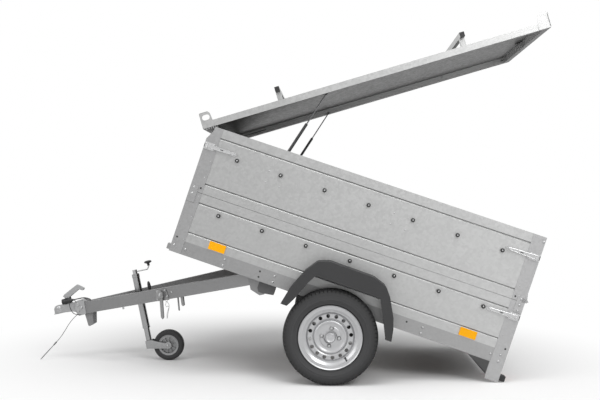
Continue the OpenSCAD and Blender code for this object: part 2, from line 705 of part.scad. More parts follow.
// from the gland in the left arm, up between the arms and over the coupling to the plug
lead_points = [[1119.7, 53.6, 72], [1117.2, 47.1, 72], [1115, 40.6, 72], [1113, 29.5, 72], [1115.5, 17, 72],
    [1123.5, 6.5, 72], [1135, 1, 72], [1149, 1, 73.5], [1161, 2.5, 79], [1170, 4.5, 89], [1178, 6.5, 101],
    [1189, 9, 116], [1204, 13, 127.5], [1221, 18, 134.5], [1239, 24, 137], [1254, 28.5, 137],
    [1268, 31.5, 137], [1280, 32.5, 137], [1292, 33, 137]];
module plug_lead() { color(black) in_drawbar() cord(lead_points, lead_r); }
module lead_gland() {
    color(black) on_arm(drawbar_l - 137) translate([0, -arm_w / 2, 1]) rotate([90, 0, 0])
        rotate_extrude() polygon([[lead_r + 0.2, 0], [10, 0], [10, 2], [6.5, 5], [lead_r + 0.2, 5]]);
}
cable_r = 2;
// from the lug under the left arm down to the floor ahead of the coupling
cable_points = [[1277, 40, 36], [1286, 40, 33.5], [1296, 40, 28.5], [1306, 40, 22.5], [1315, 40, 16],
    [1328, 40, 6], [1340, 40, -4], [1351, 40, -14], [1362, 40, -25], [1373, 40, -37], [1384, 40, -49],
    [1396, 40, -61], [1408, 40, -73], [1422, 40, -86], [1439, 40, -100], [1457, 40, -113]];
module safety_cable() { color(silver) in_drawbar() cord(cable_points, cable_r); }
// ferrule and eye at the lower end of the safety cable
cable_end = cable_points[len(cable_points) - 1];
cable_fall = 125.5;
eye_points = [[0, -1.6], [28, -4], [59, -7], [96, -10], [129, -10], [146, -8], [154, -4], [156, 0], [154, 4],
    [146, 8], [129, 10], [96, 10], [59, 7], [28, 4], [0, 1.6]];
eye_r = 1.5;
ferrule_r = 4.5;
ferrule_l = 26;
module cable_eye() {
    color(silver) in_drawbar() translate(cable_end) rotate([0, cable_fall, 0]) {
        cord([for (q = eye_points) [0, q[1], q[0]]], eye_r);
        cylinder(r = ferrule_r, h = ferrule_l, $fn = 24);
    }
}

// a place on the left arm, x along the arm and +Y outwards
module on_arm(s) {
    in_drawbar() translate([s, arm_y(s), arm_lift]) rotate([0, 0, -arm_angle]) children();
}
lock_s = 636;
module lock_place() { on_arm(lock_s) translate([0, arm_w / 2, 0]) children(); }
// catch plate on the left arm with its lever, and two pins that hang behind it
module tip_lock() {
    color(zinc_dark) {
        lock_place() {
            along_y(0, 5) polygon([[-46, -42], [40, -38], [48, -20], [36, 34], [-30, 30], [-42, 10]]);
            along_y(4, 22) polygon([[-20, -20], [14, -22], [18, 8], [6, 26], [-10, 26], [-22, 10]]);
            along_y(10, 8) polygon([[-12, -10], [10, -10], [30, -138], [22, -153], [10, -143]]);
        }
        on_arm(544) along_y(-4, 8) polygon([[-4, -arm_h / 2], [4, -arm_h / 2], [14, -117], [8, -121]]);
        on_arm(516) along_y(-6, 12)
            polygon([[-11, -arm_h / 2], [9, -arm_h / 2], [12, -88], [4, -96], [-5, -92]]);
    }
}

// Jockey wheel, its tube square to the drawbar

module at_jockey() { in_drawbar() translate([jockey_s, 0, 0]) children(); }
jockey_r_out = jockey_tube_d / 2;
clamp_r = jockey_r_out + 8;
clamp_h = 50;
clamp_reach = 34;
module jockey_clamp() {
    color(zinc_dark) at_jockey() difference() {
        translate([0, 0, arm_lift - clamp_h / 2]) linear_extrude(clamp_h) {
            circle(clamp_r);
            translate([0, -26]) square([clamp_reach, 52]);
            translate([-clamp_r - 12, -14]) square([clamp_r, 28]);
        }
        translate([0, 0, -100]) cylinder(r = jockey_r_out + 0.1, h = 300);
        bar(-60, -jockey_r_out + 6, -3, 3, 0, 200);
    }
    color(zinc_dark) at_jockey() translate([-clamp_r - 5, 20, arm_lift + 12]) rotate([90, 0, 0])
        cylinder(r = 5, h = 40);
}
grip_x = -74;
grip_z = arm_lift + 26;
module clamp_grip() {
    color(black) at_jockey() {
        translate([grip_x, 0, grip_z]) rotate_extrude($fn = 32) polygon([
            [0, -4], [6, -4], [9, 6], [11.5, 24], [9.5, 44], [5, 57], [0, 58]]);
        translate([-clamp_r - 12, 0, grip_z - 8]) rotate([0, -90, 0]) cylinder(r = 6, h = 74 - clamp_r - 10);
        translate([grip_x, 0, grip_z - 14]) cylinder(r = 7, h = 14);
    }
}
bush_h = 14;
inner_r = inner_tube_d / 2;
module jockey_outer_tube() {
    color(zinc) at_jockey() translate([0, 0, jockey_top - jockey_tube_l]) difference() {
        cylinder(r = jockey_r_out, h = jockey_tube_l);
        translate([0, 0, bush_h]) cylinder(r = jockey_r_out - 2, h = jockey_tube_l - bush_h - 2);
        translate([0, 0, -1]) cylinder(r = inner_r + 0.3, h = bush_h + 2);
    }
}
crank_cap_h = 27;
crank_rise = 14;
crank_l = 98;
crank_step = 17;
knob_low = 36;
knob_h = 34.5;
module jockey_crank() {
    color(silver) at_jockey() translate([0, 0, jockey_top]) {
        cylinder(r = 15, h = crank_cap_h);
        translate([0, 0, crank_rise]) rotate([0, -90, 0]) cylinder(r = 4, h = crank_l - 12, $fn = 24);
        translate([-crank_l + 13, 0, crank_rise]) sphere(4, $fn = 24);
        translate([-crank_l + 13, 0, crank_rise]) rotate([0, -35, 0]) cylinder(r = 4, h = 23, $fn = 24);
        translate([-crank_l, 0, crank_rise + crank_step])
            cylinder(r = 4, h = knob_low - crank_rise - crank_step + 28, $fn = 24);
    }
}
module crank_knob() {
    color(black) at_jockey() translate([-crank_l, 0, jockey_top + knob_low])
        rotate_extrude($fn = 40) polygon([[4 + pin_fit, 0], [9, 0], [8, 12], [13, 16], [23, 20], [25, 26],
            [21, 31], [10, 34], [0, knob_h], [0, 28.5], [4 + pin_fit, 28.5]]);
}
fork_top = -227;
module jockey_inner_tube() {
    color(zinc) at_jockey() translate([0, 0, fork_top + 0.3]) cylinder(r = inner_r, h = 270);
}
fork_t = 4;
fork_half = jockey_w / 2 + 6;
fork_front = 18;
fork_deep = 50;
module jockey_fork() {
    color(zinc) at_jockey() {
        // top plate and front web of the folded fork
        bar(-20, fork_front, -fork_half - 1, fork_half + 1, fork_top - fork_t, fork_top);
        bar(fork_front - fork_t, fork_front, -fork_half - 1, fork_half + 1, fork_top - fork_deep, fork_top);
        both_sides() along_y(fork_half, fork_t) {
            polygon([[fork_front, fork_top], [-20, fork_top], [-jockey_trail + 14, -jockey_drop + 17],
                [-jockey_trail + 14, -jockey_drop - 17], [fork_front, fork_top - fork_deep]]);
            translate([-jockey_trail, -jockey_drop]) circle(22);
        }
        translate([-jockey_trail, -fork_half - 8, -jockey_drop]) rotate([-90, 0, 0])
            cylinder(r = 6, h = 2 * fork_half + 16);
    }
}
module at_jockey_wheel() { at_jockey() translate([-jockey_trail, 0, -jockey_drop]) children(); }
jockey_rim_r = jockey_r - 38;
module jockey_rim() {
    half = jockey_w / 2;
    color(silver) at_jockey_wheel() spin_y() polygon([[6.05, -half - 2], [18, -half - 2], [18, -12], [26, -7],
        [jockey_rim_r - 10, -7], [jockey_rim_r - 6, -half + 4], [jockey_rim_r + 5, -half + 2],
        [jockey_rim_r + 5, -half + 4], [jockey_rim_r, -half + 6], [jockey_rim_r, half - 6],
        [jockey_rim_r + 5, half - 4], [jockey_rim_r + 5, half - 2], [jockey_rim_r - 6, half - 4],
        [jockey_rim_r - 10, 7], [26, 7], [18, 12], [18, half + 2], [6.05, half + 2]]);
}
module jockey_tyre() {
    half = jockey_w / 2;
    color(black) at_jockey_wheel() spin_y() polygon([
        [jockey_rim_r + 0.3, -half + 6.5], [jockey_rim_r + 6, -half + 3.5], [jockey_rim_r + 12, -half + 1],
        [jockey_r - 16, -half], [jockey_r - 8, -half + 3], [jockey_r - 2, -half + 9], [jockey_r, -half + 15],
        [jockey_r, half - 15], [jockey_r - 2, half - 9], [jockey_r - 8, half - 3], [jockey_r - 16, half],
        [jockey_rim_r + 12, half - 1], [jockey_rim_r + 6, half - 3.5], [jockey_rim_r + 0.3, half - 6.5]]);
}

// Lid, in its own frame: the hinge axis at the origin, its underside at z = lid_raise

lid_z1 = lid_raise + lid_rail_h;
// the half of the lid's hinge that swings, and the studs of the gas struts
module lid_ears() {
    both_sides() {
        translate([0, lid_hinge_y, 0]) along_y(-5.7, 11.4) difference() {
            union() {
                circle(pin_r + 4);
                translate([-12, 0]) square([24, lid_raise + 1]);
            }
            circle(pin_r + pin_fit);
        }
        translate([strut_head[0], half_w - lid_rail_w, strut_head[1]]) rotate([90, 0, 0])
            cylinder(r = 5, h = half_w - lid_rail_w - strut_y - strut_eye_h - 0.3);
    }
}
module lid_frame() {
    color(zinc) in_lid() lid_ears();
    color(zinc) in_lid() difference() {
        bar(-lid_tail, lid_nose, -half_w, half_w, lid_raise, lid_z1 - lid_sheet_t);
        bar(-lid_tail + lid_rail_w, lid_nose - lid_rail_w, -half_w + lid_rail_w, half_w - lid_rail_w,
            0, lid_z1 + 1);
        difference() {
            bar(-lid_tail + lid_rail_t, lid_nose - lid_rail_t, -half_w + lid_rail_t, half_w - lid_rail_t,
                lid_raise + lid_rail_t, lid_z1 + 1);
            bar(-lid_tail + lid_rail_w - lid_rail_t, lid_nose - lid_rail_w + lid_rail_t,
                -half_w + lid_rail_w - lid_rail_t, half_w - lid_rail_w + lid_rail_t, 0, lid_z1 + 2);
        }
    }
}
module lid_sheet() {
    color(zinc) in_lid() bar(-lid_tail, lid_nose, -half_w, half_w, lid_z1 - lid_sheet_t, lid_z1);
}
corner_l = 75;
corner_h = 95;
corner_t = 3;
corner_lip = 10;
hole_h = 62;
module lid_bracket(lip) {
    along_y(0, corner_t) difference() {
        offset(8) offset(delta = -8) polygon([[0, 0], [corner_l, 0], [corner_l - 11, corner_h - 12],
            [corner_l - 22, corner_h], [0, corner_h]]);
        hull() for (x = [28, 42]) translate([x, hole_h]) circle(16);
    }
    if (lip) bar(0, corner_t, corner_t - 1, corner_lip, 8, corner_h - 8);
}
module lid_brackets() {
    color(zinc) in_lid() both_sides() {
        translate([lid_nose, half_w, lid_raise]) mirror([1, 0, 0]) lid_bracket(false);
        translate([-lid_tail, half_w, lid_raise]) lid_bracket(true);
    }
}
// slam lock in the middle of the lid's rear rail
module lid_lock() {
    color(zinc_dark) in_lid() translate([-lid_tail + lid_rail_w, 0, lid_raise]) {
        along_y(-35, 70) polygon([[0, 2], [26, 2], [26, 26], [18, 32], [0, 32]]);
        along_y(-14, 28) polygon([[6, 3], [20, 3], [17, -14], [9, -14]]);
    }
}
bar_front = 410;
bar_rear = 508;
bar_x = [-bar_front, bar_rear - lid_tail];
bar_size = 28;
bar_over = 30;
bar_rise = 62;
bar_z = lid_z1 + bar_rise;
module roof_bars() {
    color(zinc) in_lid() for (x = bar_x) {
        along_y(-half_w - bar_over, 2 * (half_w + bar_over)) translate([x, bar_z]) difference() {
            square(bar_size, center = true);
            square(bar_size - 4, center = true);
        }
        both_sides() bar(x - 15, x + 15, half_w - 34, half_w - 4, lid_z1, bar_z - bar_size / 2);
    }
}
module roof_bar_caps() {
    color(black) in_lid() for (x = bar_x) both_sides()
        translate([x, half_w + bar_over + 1.5, bar_z]) cube([bar_size, 3, bar_size], center = true);
}

// Gas struts, from a stud low on the side board to a stud on the lid's rail

strut_y = half_w - 55;
strut_eye_h = 5;
stud_r = 4;
strut_foot = [-474, hinge_v - 26];
// eye of the rod, in the lid's frame
strut_head = [-680, 10];
head_r = norm(strut_head);
head_a = atan2(strut_head[1], -strut_head[0]);
// the same eye in the box's frame
eye = [-hinge_u - head_r * cos(head_a + lid_open), hinge_v + head_r * sin(head_a + lid_open)];
eye_closed = [-hinge_u + strut_head[0], hinge_v + strut_head[1]];
strut_l = norm(eye - strut_foot);
strut_closed_l = norm(eye_closed - strut_foot);
strut_a = atan2(eye[1] - strut_foot[1], -(eye[0] - strut_foot[0]));
cylinder_l = 216;
strut_r = 9;
rod_r = 4;
// the rod's inner end stays clear of the cylinder's closed end
cylinder_floor = 12;
rod_start = cylinder_floor + strut_l - strut_closed_l + 3;
module strut_studs() {
    color(silver) in_box() both_sides() translate([strut_foot[0], 0, strut_foot[1]]) rotate([-90, 0, 0]) {
        translate([0, 0, strut_y - strut_eye_h]) cylinder(r = stud_r, h = board_in - strut_y + strut_eye_h);
        translate([0, 0, board_in - 4]) cylinder(r = 14, h = 4);
    }
}
module in_strut(side) {
    in_box() scale([1, side, 1]) translate([strut_foot[0], strut_y, strut_foot[1]])
        rotate([0, strut_a - 90, 0]) children();
}
module strut_cylinder() {
    difference() {
        union() {
            rotate([-90, 0, 0]) translate([0, 0, -strut_eye_h]) cylinder(r = 9, h = 2 * strut_eye_h);
            translate([0, 0, 6]) cylinder(r = strut_r, h = cylinder_l);
        }
        translate([0, 0, cylinder_floor]) cylinder(r = rod_r + pin_fit, h = cylinder_l);
        rotate([-90, 0, 0]) translate([0, 0, -10]) cylinder(r = stud_r + pin_fit, h = 20);
    }
}
module strut_rod() {
    translate([0, 0, rod_start]) cylinder(r = rod_r, h = strut_l - rod_start - 7);
    translate([0, 0, strut_l]) rotate([-90, 0, 0]) translate([0, 0, -strut_eye_h])
        cylinder(r = 9, h = 2 * strut_eye_h);
}
module strut_cylinder_left() { color(black) in_strut(1) strut_cylinder(); }
module strut_cylinder_right() { color(black) in_strut(-1) strut_cylinder(); }
module strut_rod_left() { color(silver) in_strut(1) strut_rod(); }
module strut_rod_right() { color(silver) in_strut(-1) strut_rod(); }

// a pin that stands inwards from a plate on the corner post
module corner_pin() {
    along_y(20, 3) polygon([[-30, -14], [-30, 14], [0, 9], [9, 0], [0, -9]]);
    rotate([-90, 0, 0]) translate([0, 0, -12]) cylinder(r = pin_r, h = 35);
}
module board_pins() {
    color(zinc_dark) in_box() {
        at_rear() board_hinges(lower_pin_v) hinge_pin(pin_out + 2, -20, 0);
        at_rear() board_hinges(upper_pin_v, corner_pin_y) corner_pin();
        board_hinges(upper_pin_v) hinge_pin(pin_out + swing_gap + 2, -40, -14);
    }
}
module tip_catch() {
    color(zinc_dark) in_box() both_sides() bar(-2, 46, 120, 180, 13, 48);
}

floor_frame();
floor_panel();
side_boards_lower();
side_boards_upper();
front_board_lower();
front_board_upper();
tailgate_lower();
tailgate_upper();
posts_lower();
posts_upper();
latches();
tarp_knobs();
reflectors();
lamp_beam();
rear_lamps();
rear_buffers();
axle_beam();
swing_arms();
mudguards();
pivot_brackets();
tip_catch();
tyre_left();
rim_left();
hub_left();
tyre_right();
rim_right();
hub_right();
drawbar_arms();
coupling_head();
coupling_handle();
front_bracket();
plug();
plug_lead();
lead_gland();
safety_cable();
cable_eye();
tip_lock();
jockey_clamp();
clamp_grip();
jockey_outer_tube();
jockey_crank();
crank_knob();
jockey_inner_tube();
jockey_fork();
jockey_rim();
jockey_tyre();
lid_frame();
lid_sheet();
lid_brackets();
lid_lock();
roof_bars();
roof_bar_caps();
strut_cylinder_left();
strut_rod_left();
strut_cylinder_right();
strut_rod_right();
strut_studs();
board_pins();
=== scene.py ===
# A tipping utility trailer, seen from its left side in a plain studio.
import json
import math

import bmesh
import bpy
from mathutils import Matrix, Vector


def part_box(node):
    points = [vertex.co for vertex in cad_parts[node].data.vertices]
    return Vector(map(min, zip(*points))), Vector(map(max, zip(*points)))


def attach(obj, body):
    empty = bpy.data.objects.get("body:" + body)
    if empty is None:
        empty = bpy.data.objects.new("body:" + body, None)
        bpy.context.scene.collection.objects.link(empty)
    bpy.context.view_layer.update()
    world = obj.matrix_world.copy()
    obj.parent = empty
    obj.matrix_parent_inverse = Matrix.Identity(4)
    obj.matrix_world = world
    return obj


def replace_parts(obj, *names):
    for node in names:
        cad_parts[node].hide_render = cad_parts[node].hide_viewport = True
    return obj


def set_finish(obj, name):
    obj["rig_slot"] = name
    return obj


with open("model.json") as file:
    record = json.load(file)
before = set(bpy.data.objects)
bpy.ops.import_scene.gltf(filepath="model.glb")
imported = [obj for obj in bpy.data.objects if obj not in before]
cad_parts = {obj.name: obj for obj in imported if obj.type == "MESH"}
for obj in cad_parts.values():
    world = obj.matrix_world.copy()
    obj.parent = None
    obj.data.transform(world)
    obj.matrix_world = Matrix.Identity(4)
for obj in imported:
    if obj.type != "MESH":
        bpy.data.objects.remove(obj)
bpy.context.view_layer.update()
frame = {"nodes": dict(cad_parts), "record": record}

nodes = frame["nodes"]
scene = bpy.context.scene


def middle(node):
    """The middle of a node's box, in metres."""
    low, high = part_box(node)
    return (Vector(low) + Vector(high)) / 2


# The trailer's frames: the axle, the tipped box, the drawbar and the raised lid

MM = 0.001
AXLE = middle("hub_left")
TILT = math.radians(18.66595)
NOSE_DOWN = math.radians(11.9005)
LID_OPEN = math.radians(34.7)
BOX_FRONT_BACK = 1.057
AXLE_DROP = 0.155
TIP_BACK = 0.585
TIP_DROP = 0.045
HINGE_BACK = 0.030
HINGE_UP = 0.777

SIN_TILT, COS_TILT = math.sin(TILT), math.cos(TILT)
BOX_X = AXLE.x + BOX_FRONT_BACK * COS_TILT - AXLE_DROP * SIN_TILT
BOX_Z = AXLE.z + BOX_FRONT_BACK * SIN_TILT + AXLE_DROP * COS_TILT

# Each has x forward and z up. The box's starts at its front lower edge, the drawbar's at the tipping
# pivot, and the lid's at its hinge.
IN_BOX = Matrix.Translation((BOX_X, 0, BOX_Z)) @ Matrix.Rotation(-TILT, 4, "Y")
IN_DRAWBAR = (Matrix.Translation(IN_BOX @ Vector((-TIP_BACK, 0, -TIP_DROP)))
              @ Matrix.Rotation(NOSE_DOWN, 4, "Y"))
IN_LID = (IN_BOX @ Matrix.Translation((-HINGE_BACK, 0, HINGE_UP))
          @ Matrix.Rotation(LID_OPEN, 4, "Y"))


# Camera

IMAGE = (600, 400)
FOCAL_PX = 785.11
SENSOR = 36.0
ASIDE_FROM_AXLE = 0.0413
TO_THE_LEFT = 5.1498
ABOVE_GROUND = 1.038
VIEW = Vector((0.04777, -0.99885, 0.00342))
cam_data = bpy.data.cameras.new("camera")
cam_data.sensor_width = SENSOR
cam_data.lens = FOCAL_PX / IMAGE[0] * SENSOR
camera = bpy.data.objects.new("camera", cam_data)
scene.collection.objects.link(camera)
camera.location = (AXLE.x - ASIDE_FROM_AXLE, TO_THE_LEFT, ABOVE_GROUND)
camera.rotation_mode = "QUATERNION"
camera.rotation_quaternion = VIEW.to_track_quat("-Z", "Y")
scene.camera = camera


# Shapes: a piece's faces are given in mm in the frame of what it sits on

SHARP = math.radians(35)
LEFT = Matrix()
RIGHT = Matrix.Diagonal((1, -1, 1, 1))
SIDES = (LEFT, RIGHT)
added = []


def shift(x, y, z):
    """A frame moved by x, y and z."""
    return Matrix.Translation((x, y, z))


def turn(degrees, axis):
    """A frame turned about one of its axes."""
    return Matrix.Rotation(math.radians(degrees), 4, axis)


def on_face(x, y, z):
    """A frame on the left face of something: its x forward, its y up and its z outwards."""
    return Matrix(((1, 0, 0, x), (0, 0, 1, y), (0, 1, 0, z), (0, 0, 0, 1)))


def below(x, y, z):
    """A frame under something, its z downwards."""
    return shift(x, y, z) @ turn(180, "X")


class Shape:
    """The joined faces of one piece, given in mm in one of the trailer's frames."""

    def __init__(self, its_frame):
        self.place = its_frame @ Matrix.Scale(MM, 4)
        self.points = []
        self.faces = []

    def add(self, points, faces, at):
        """More faces, placed by a frame."""
        first = len(self.points)
        self.points += [self.place @ at @ Vector(p) for p in points]
        self.faces += [[first + i for i in face] for face in faces]

    def lathe(self, profile, at=LEFT, sides=24):
        """A profile of radius and height turned about z."""
        points, rings = [], []
        for radius, z in profile:
            count = 1 if radius < 1e-6 else sides
            rings.append([len(points) + i for i in range(count)])
            points += [(radius * math.cos(i * math.tau / sides), radius * math.sin(i * math.tau / sides), z)
                       for i in range(count)]
        faces = []
        for low, high in zip(rings, rings[1:]):
            for i in range(sides):
                j = i + 1
                face = [low[i % len(low)], low[j % len(low)], high[j % len(high)], high[i % len(high)]]
                faces.append(list(dict.fromkeys(face)))
        self.add(points, faces, at)

    def sweep(self, profile, start, end, at=LEFT, steps=16):
        """A closed profile of radius and height, turned about z from one angle to another."""
        n = len(profile)
        points = []
        for k in range(steps + 1):
            a = math.radians(start + (end - start) * k / steps)
            points += [(r * math.cos(a), r * math.sin(a), z) for r, z in profile]
        faces = [list(range(n)), list(range(n * steps, n * (steps + 1)))]
        faces += [[k * n + i, k * n + (i + 1) % n, (k + 1) * n + (i + 1) % n, (k + 1) * n + i]
                  for k in range(steps) for i in range(n)]
        self.add(points, faces, at)

    def prism(self, outline, depth, at=LEFT, bevel=0.0):
        """An outline in x and y, drawn out along z, its outer edge bevelled."""
        n = len(outline)
        cx = sum(p[0] for p in outline) / n
        cy = sum(p[1] for p in outline) / n
        reach = max(math.hypot(x - cx, y - cy) for x, y in outline)
        inset = 1 - bevel / reach
        rows = [(1, 0), (1, depth - bevel), (inset, depth)] if bevel else [(1, 0), (1, depth)]
        points = [(cx + (x - cx) * k, cy + (y - cy) * k, z) for k, z in rows for x, y in outline]
        last = n * (len(rows) - 1)
        faces = [list(range(n)), list(range(last, last + n))]
        for row in range(len(rows) - 1):
            a, b = n * row, n * (row + 1)
            faces += [[a + i, a + (i + 1) % n, b + (i + 1) % n, b + i] for i in range(n)]
        self.add(points, faces, at)

    def tube(self, path, radius, at=LEFT, sides=8):
        """A round bar or cord along a path, its ends closed."""
        path = [Vector(p) for p in path]
        points, across = [], None
        for i, p in enumerate(path):
            ahead = (path[min(i + 1, len(path) - 1)] - path[max(i - 1, 0)]).normalized()
            across = ahead.orthogonal() if across is None else across - ahead * across.dot(ahead)
            across.normalize()
            other = ahead.cross(across)
            points += [p + radius * (math.cos(a) * across + math.sin(a) * other)
                       for a in (k * math.tau / sides for k in range(sides))]
        faces = [list(range(sides)), list(range(len(points) - sides, len(points)))]
        faces += [[i * sides + k, i * sides + (k + 1) % sides, (i + 1) * sides + (k + 1) % sides,
                   (i + 1) * sides + k] for i in range(len(path) - 1) for k in range(sides)]
        self.add(points, faces, at)

    def make(self, name, body, slot):
        """The piece itself, on its body. Its finish comes later, from its slot."""
        mesh = bpy.data.meshes.new(name)
        mesh.from_pydata(self.points, [], self.faces)
        build = bmesh.new()
        build.from_mesh(mesh)
        bmesh.ops.recalc_face_normals(build, faces=build.faces)
        build.to_mesh(mesh)
        build.free()
        for face in mesh.polygons:
            face.use_smooth = True
        mesh.set_sharp_from_angle(angle=SHARP)
        piece = bpy.data.objects.new(name, mesh)
        scene.collection.objects.link(piece)
        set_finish(piece, slot)
        added.append(piece)
        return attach(piece, body)


def rounded(w, h, r, steps=4):
    """A rectangle with round corners about the origin."""
    points = []
    for cx, cy, start in ((1, 1, 0), (-1, 1, 90), (-1, -1, 180), (1, -1, 270)):
        for k in range(steps + 1):
            a = math.radians(start + 90 * k / steps)
            points.append((cx * (w / 2 - r) + r * math.cos(a), cy * (h / 2 - r) + r * math.sin(a)))
    return points


def hexagon(radius):
    """A nut's outline, its radius measured to the corners."""
    return [(radius * math.cos(i * math.pi / 3), radius * math.sin(i * math.pi / 3)) for i in range(6)]


def dome(radius, height):
    """Profile of a round bolt head, from its foot to its crown."""
    steps = 5
    return [(radius, 0), (radius, height * 0.15)] + [
        (radius * math.cos(a), height * (0.15 + 0.85 * math.sin(a)))
        for a in (math.pi / 2 * (k + 1) / steps for k in range(steps - 1))] + [(0, height)]


# Cords: their routes repeat the part's, in mm in the drawbar's frame

LEAD_ROUTE = [
    (1119.7, 53.6, 72), (1117.2, 47.1, 72), (1115, 40.6, 72), (1113, 29.5, 72), (1115.5, 17, 72),
    (1123.5, 6.5, 72), (1135, 1, 72), (1149, 1, 73.5), (1161, 2.5, 79), (1170, 4.5, 89), (1178, 6.5, 101),
    (1189, 9, 116), (1204, 13, 127.5), (1221, 18, 134.5), (1239, 24, 137), (1254, 28.5, 137),
    (1268, 31.5, 137), (1280, 32.5, 137), (1292, 33, 137)]
CABLE_ROUTE = [
    (1277, 40, 36), (1286, 40, 33.5), (1296, 40, 28.5), (1306, 40, 22.5), (1315, 40, 16), (1328, 40, 6),
    (1340, 40, -4), (1351, 40, -14), (1362, 40, -25), (1373, 40, -37), (1384, 40, -49), (1396, 40, -61),
    (1408, 40, -73), (1422, 40, -86), (1439, 40, -100), (1457, 40, -113)]

# The loop is the scene's own: it leaves the coupling's cheek and goes back in under the coupling.
LOOP_ROUTE = [
    (1262, 62, 108), (1264, 64.5, 119), (1268, 67.5, 128), (1275, 69.5, 135.5), (1284, 70.5, 139),
    (1294, 70.5, 137.5), (1302, 70, 132), (1307.5, 69, 124), (1310.5, 68, 115), (1311.5, 67, 105),
    (1311.5, 66, 94), (1310.5, 64.5, 83), (1308.5, 62.5, 72), (1305.5, 60.5, 62), (1301, 58, 53),
    (1295, 55.5, 46), (1287.5, 52.5, 41), (1279, 49, 38), (1271, 45.5, 37)]

LEAD_R = 3.5
CABLE_R = 2.0
LOOP_R = 2.3


def drawbar_cord(name, route, radius, slot, nodes_stood_for=(), **facts):
    """A round cord through a route's points in the drawbar's frame, as a mesh tube."""
    shape = Shape(IN_DRAWBAR)
    shape.tube(route, radius, sides=12)
    piece = shape.make(name, "drawbar", slot)
    if nodes_stood_for:
        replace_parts(piece, *nodes_stood_for)


drawbar_cord("plug_lead_cable", LEAD_ROUTE, LEAD_R, "black_plastic", ["plug_lead"], far_end="plug",
             stiffness="medium", lay="loose", with_pieces=["plug"])
drawbar_cord("safety_cable_rope", CABLE_ROUTE, CABLE_R, "bright_steel", ["safety_cable"],
             far_end="fitting", stiffness="stiff", lay="hanging", with_pieces=["cable_eye"])
drawbar_cord("plug_lead_loop", LOOP_ROUTE, LOOP_R, "black_plastic", far_end="object",
             stiffness="medium", lay="loose")


# Light

def light(name, place, target, size, power):
    """A soft rectangular lamp that looks at a target."""
    data = bpy.data.lights.new(name, "AREA")
    data.shape = "RECTANGLE"
    data.size, data.size_y = size
    data.energy = power
    lamp = bpy.data.objects.new(name, data)
    scene.collection.objects.link(lamp)
    lamp.location = place
    lamp.rotation_mode = "QUATERNION"
    lamp.rotation_quaternion = (Vector(target) - Vector(place)).to_track_quat("-Z", "Y")


light("key", (-3.9, 6.2, 5.6), (-0.9, 0, 0.9), (3.4, 3.4), 230)
light("fill", (3.4, 3.0, 2.4), (0.2, 0, 0.7), (2.4, 2.4), 40)
light("top", (-0.4, 1.9, 5.2), (-0.2, 0.3, 0.6), (4.4, 2.0), 95)

world = bpy.data.worlds.new("studio")
scene.world = world
world.use_nodes = True


def seen_rays(tree):
    """1 for the camera's rays and for those that metal and glass send out."""
    path = tree.nodes.new("ShaderNodeLightPath")
    total = path.outputs["Is Camera Ray"]
    for ray in ("Is Glossy Ray", "Is Transmission Ray"):
        add = tree.nodes.new("ShaderNodeMath")
        add.operation = "MAXIMUM"
        tree.links.new(total, add.inputs[0])
        tree.links.new(path.outputs[ray], add.inputs[1])
        total = add.outputs[0]
    return total


def build_world(tree, ambient):
    """White to the camera and to mirrors, and dimmer as a source of light."""
    tree.nodes.clear()
    out = tree.nodes.new("ShaderNodeOutputWorld")
    mix = tree.nodes.new("ShaderNodeMixShader")
    dim = tree.nodes.new("ShaderNodeBackground")
    white = tree.nodes.new("ShaderNodeBackground")
    dim.inputs["Color"].default_value = (1, 1, 1, 1)
    dim.inputs["Strength"].default_value = ambient
    white.inputs["Color"].default_value = (1, 1, 1, 1)
    white.inputs["Strength"].default_value = 1.0
    tree.links.new(seen_rays(tree), mix.inputs["Fac"])
    tree.links.new(dim.outputs[0], mix.inputs[1])
    tree.links.new(white.outputs[0], mix.inputs[2])
    tree.links.new(mix.outputs[0], out.inputs["Surface"])


AMBIENT = 0.5
build_world(world.node_tree, AMBIENT)
scene.view_settings.view_transform = "Standard"


# Materials

BOX_L = 2058
POST_W = 81
SOFT_EDGE = 0.004
ZINC_FRONT_X = 0.75
ZINC_REAR_X = -1.45
SLIGHTLY_DOWN = -0.3
NEARLY_STRAIGHT_DOWN = -0.9
WALL_ENDS = 0.222
TREAD_STARTS = 0.262


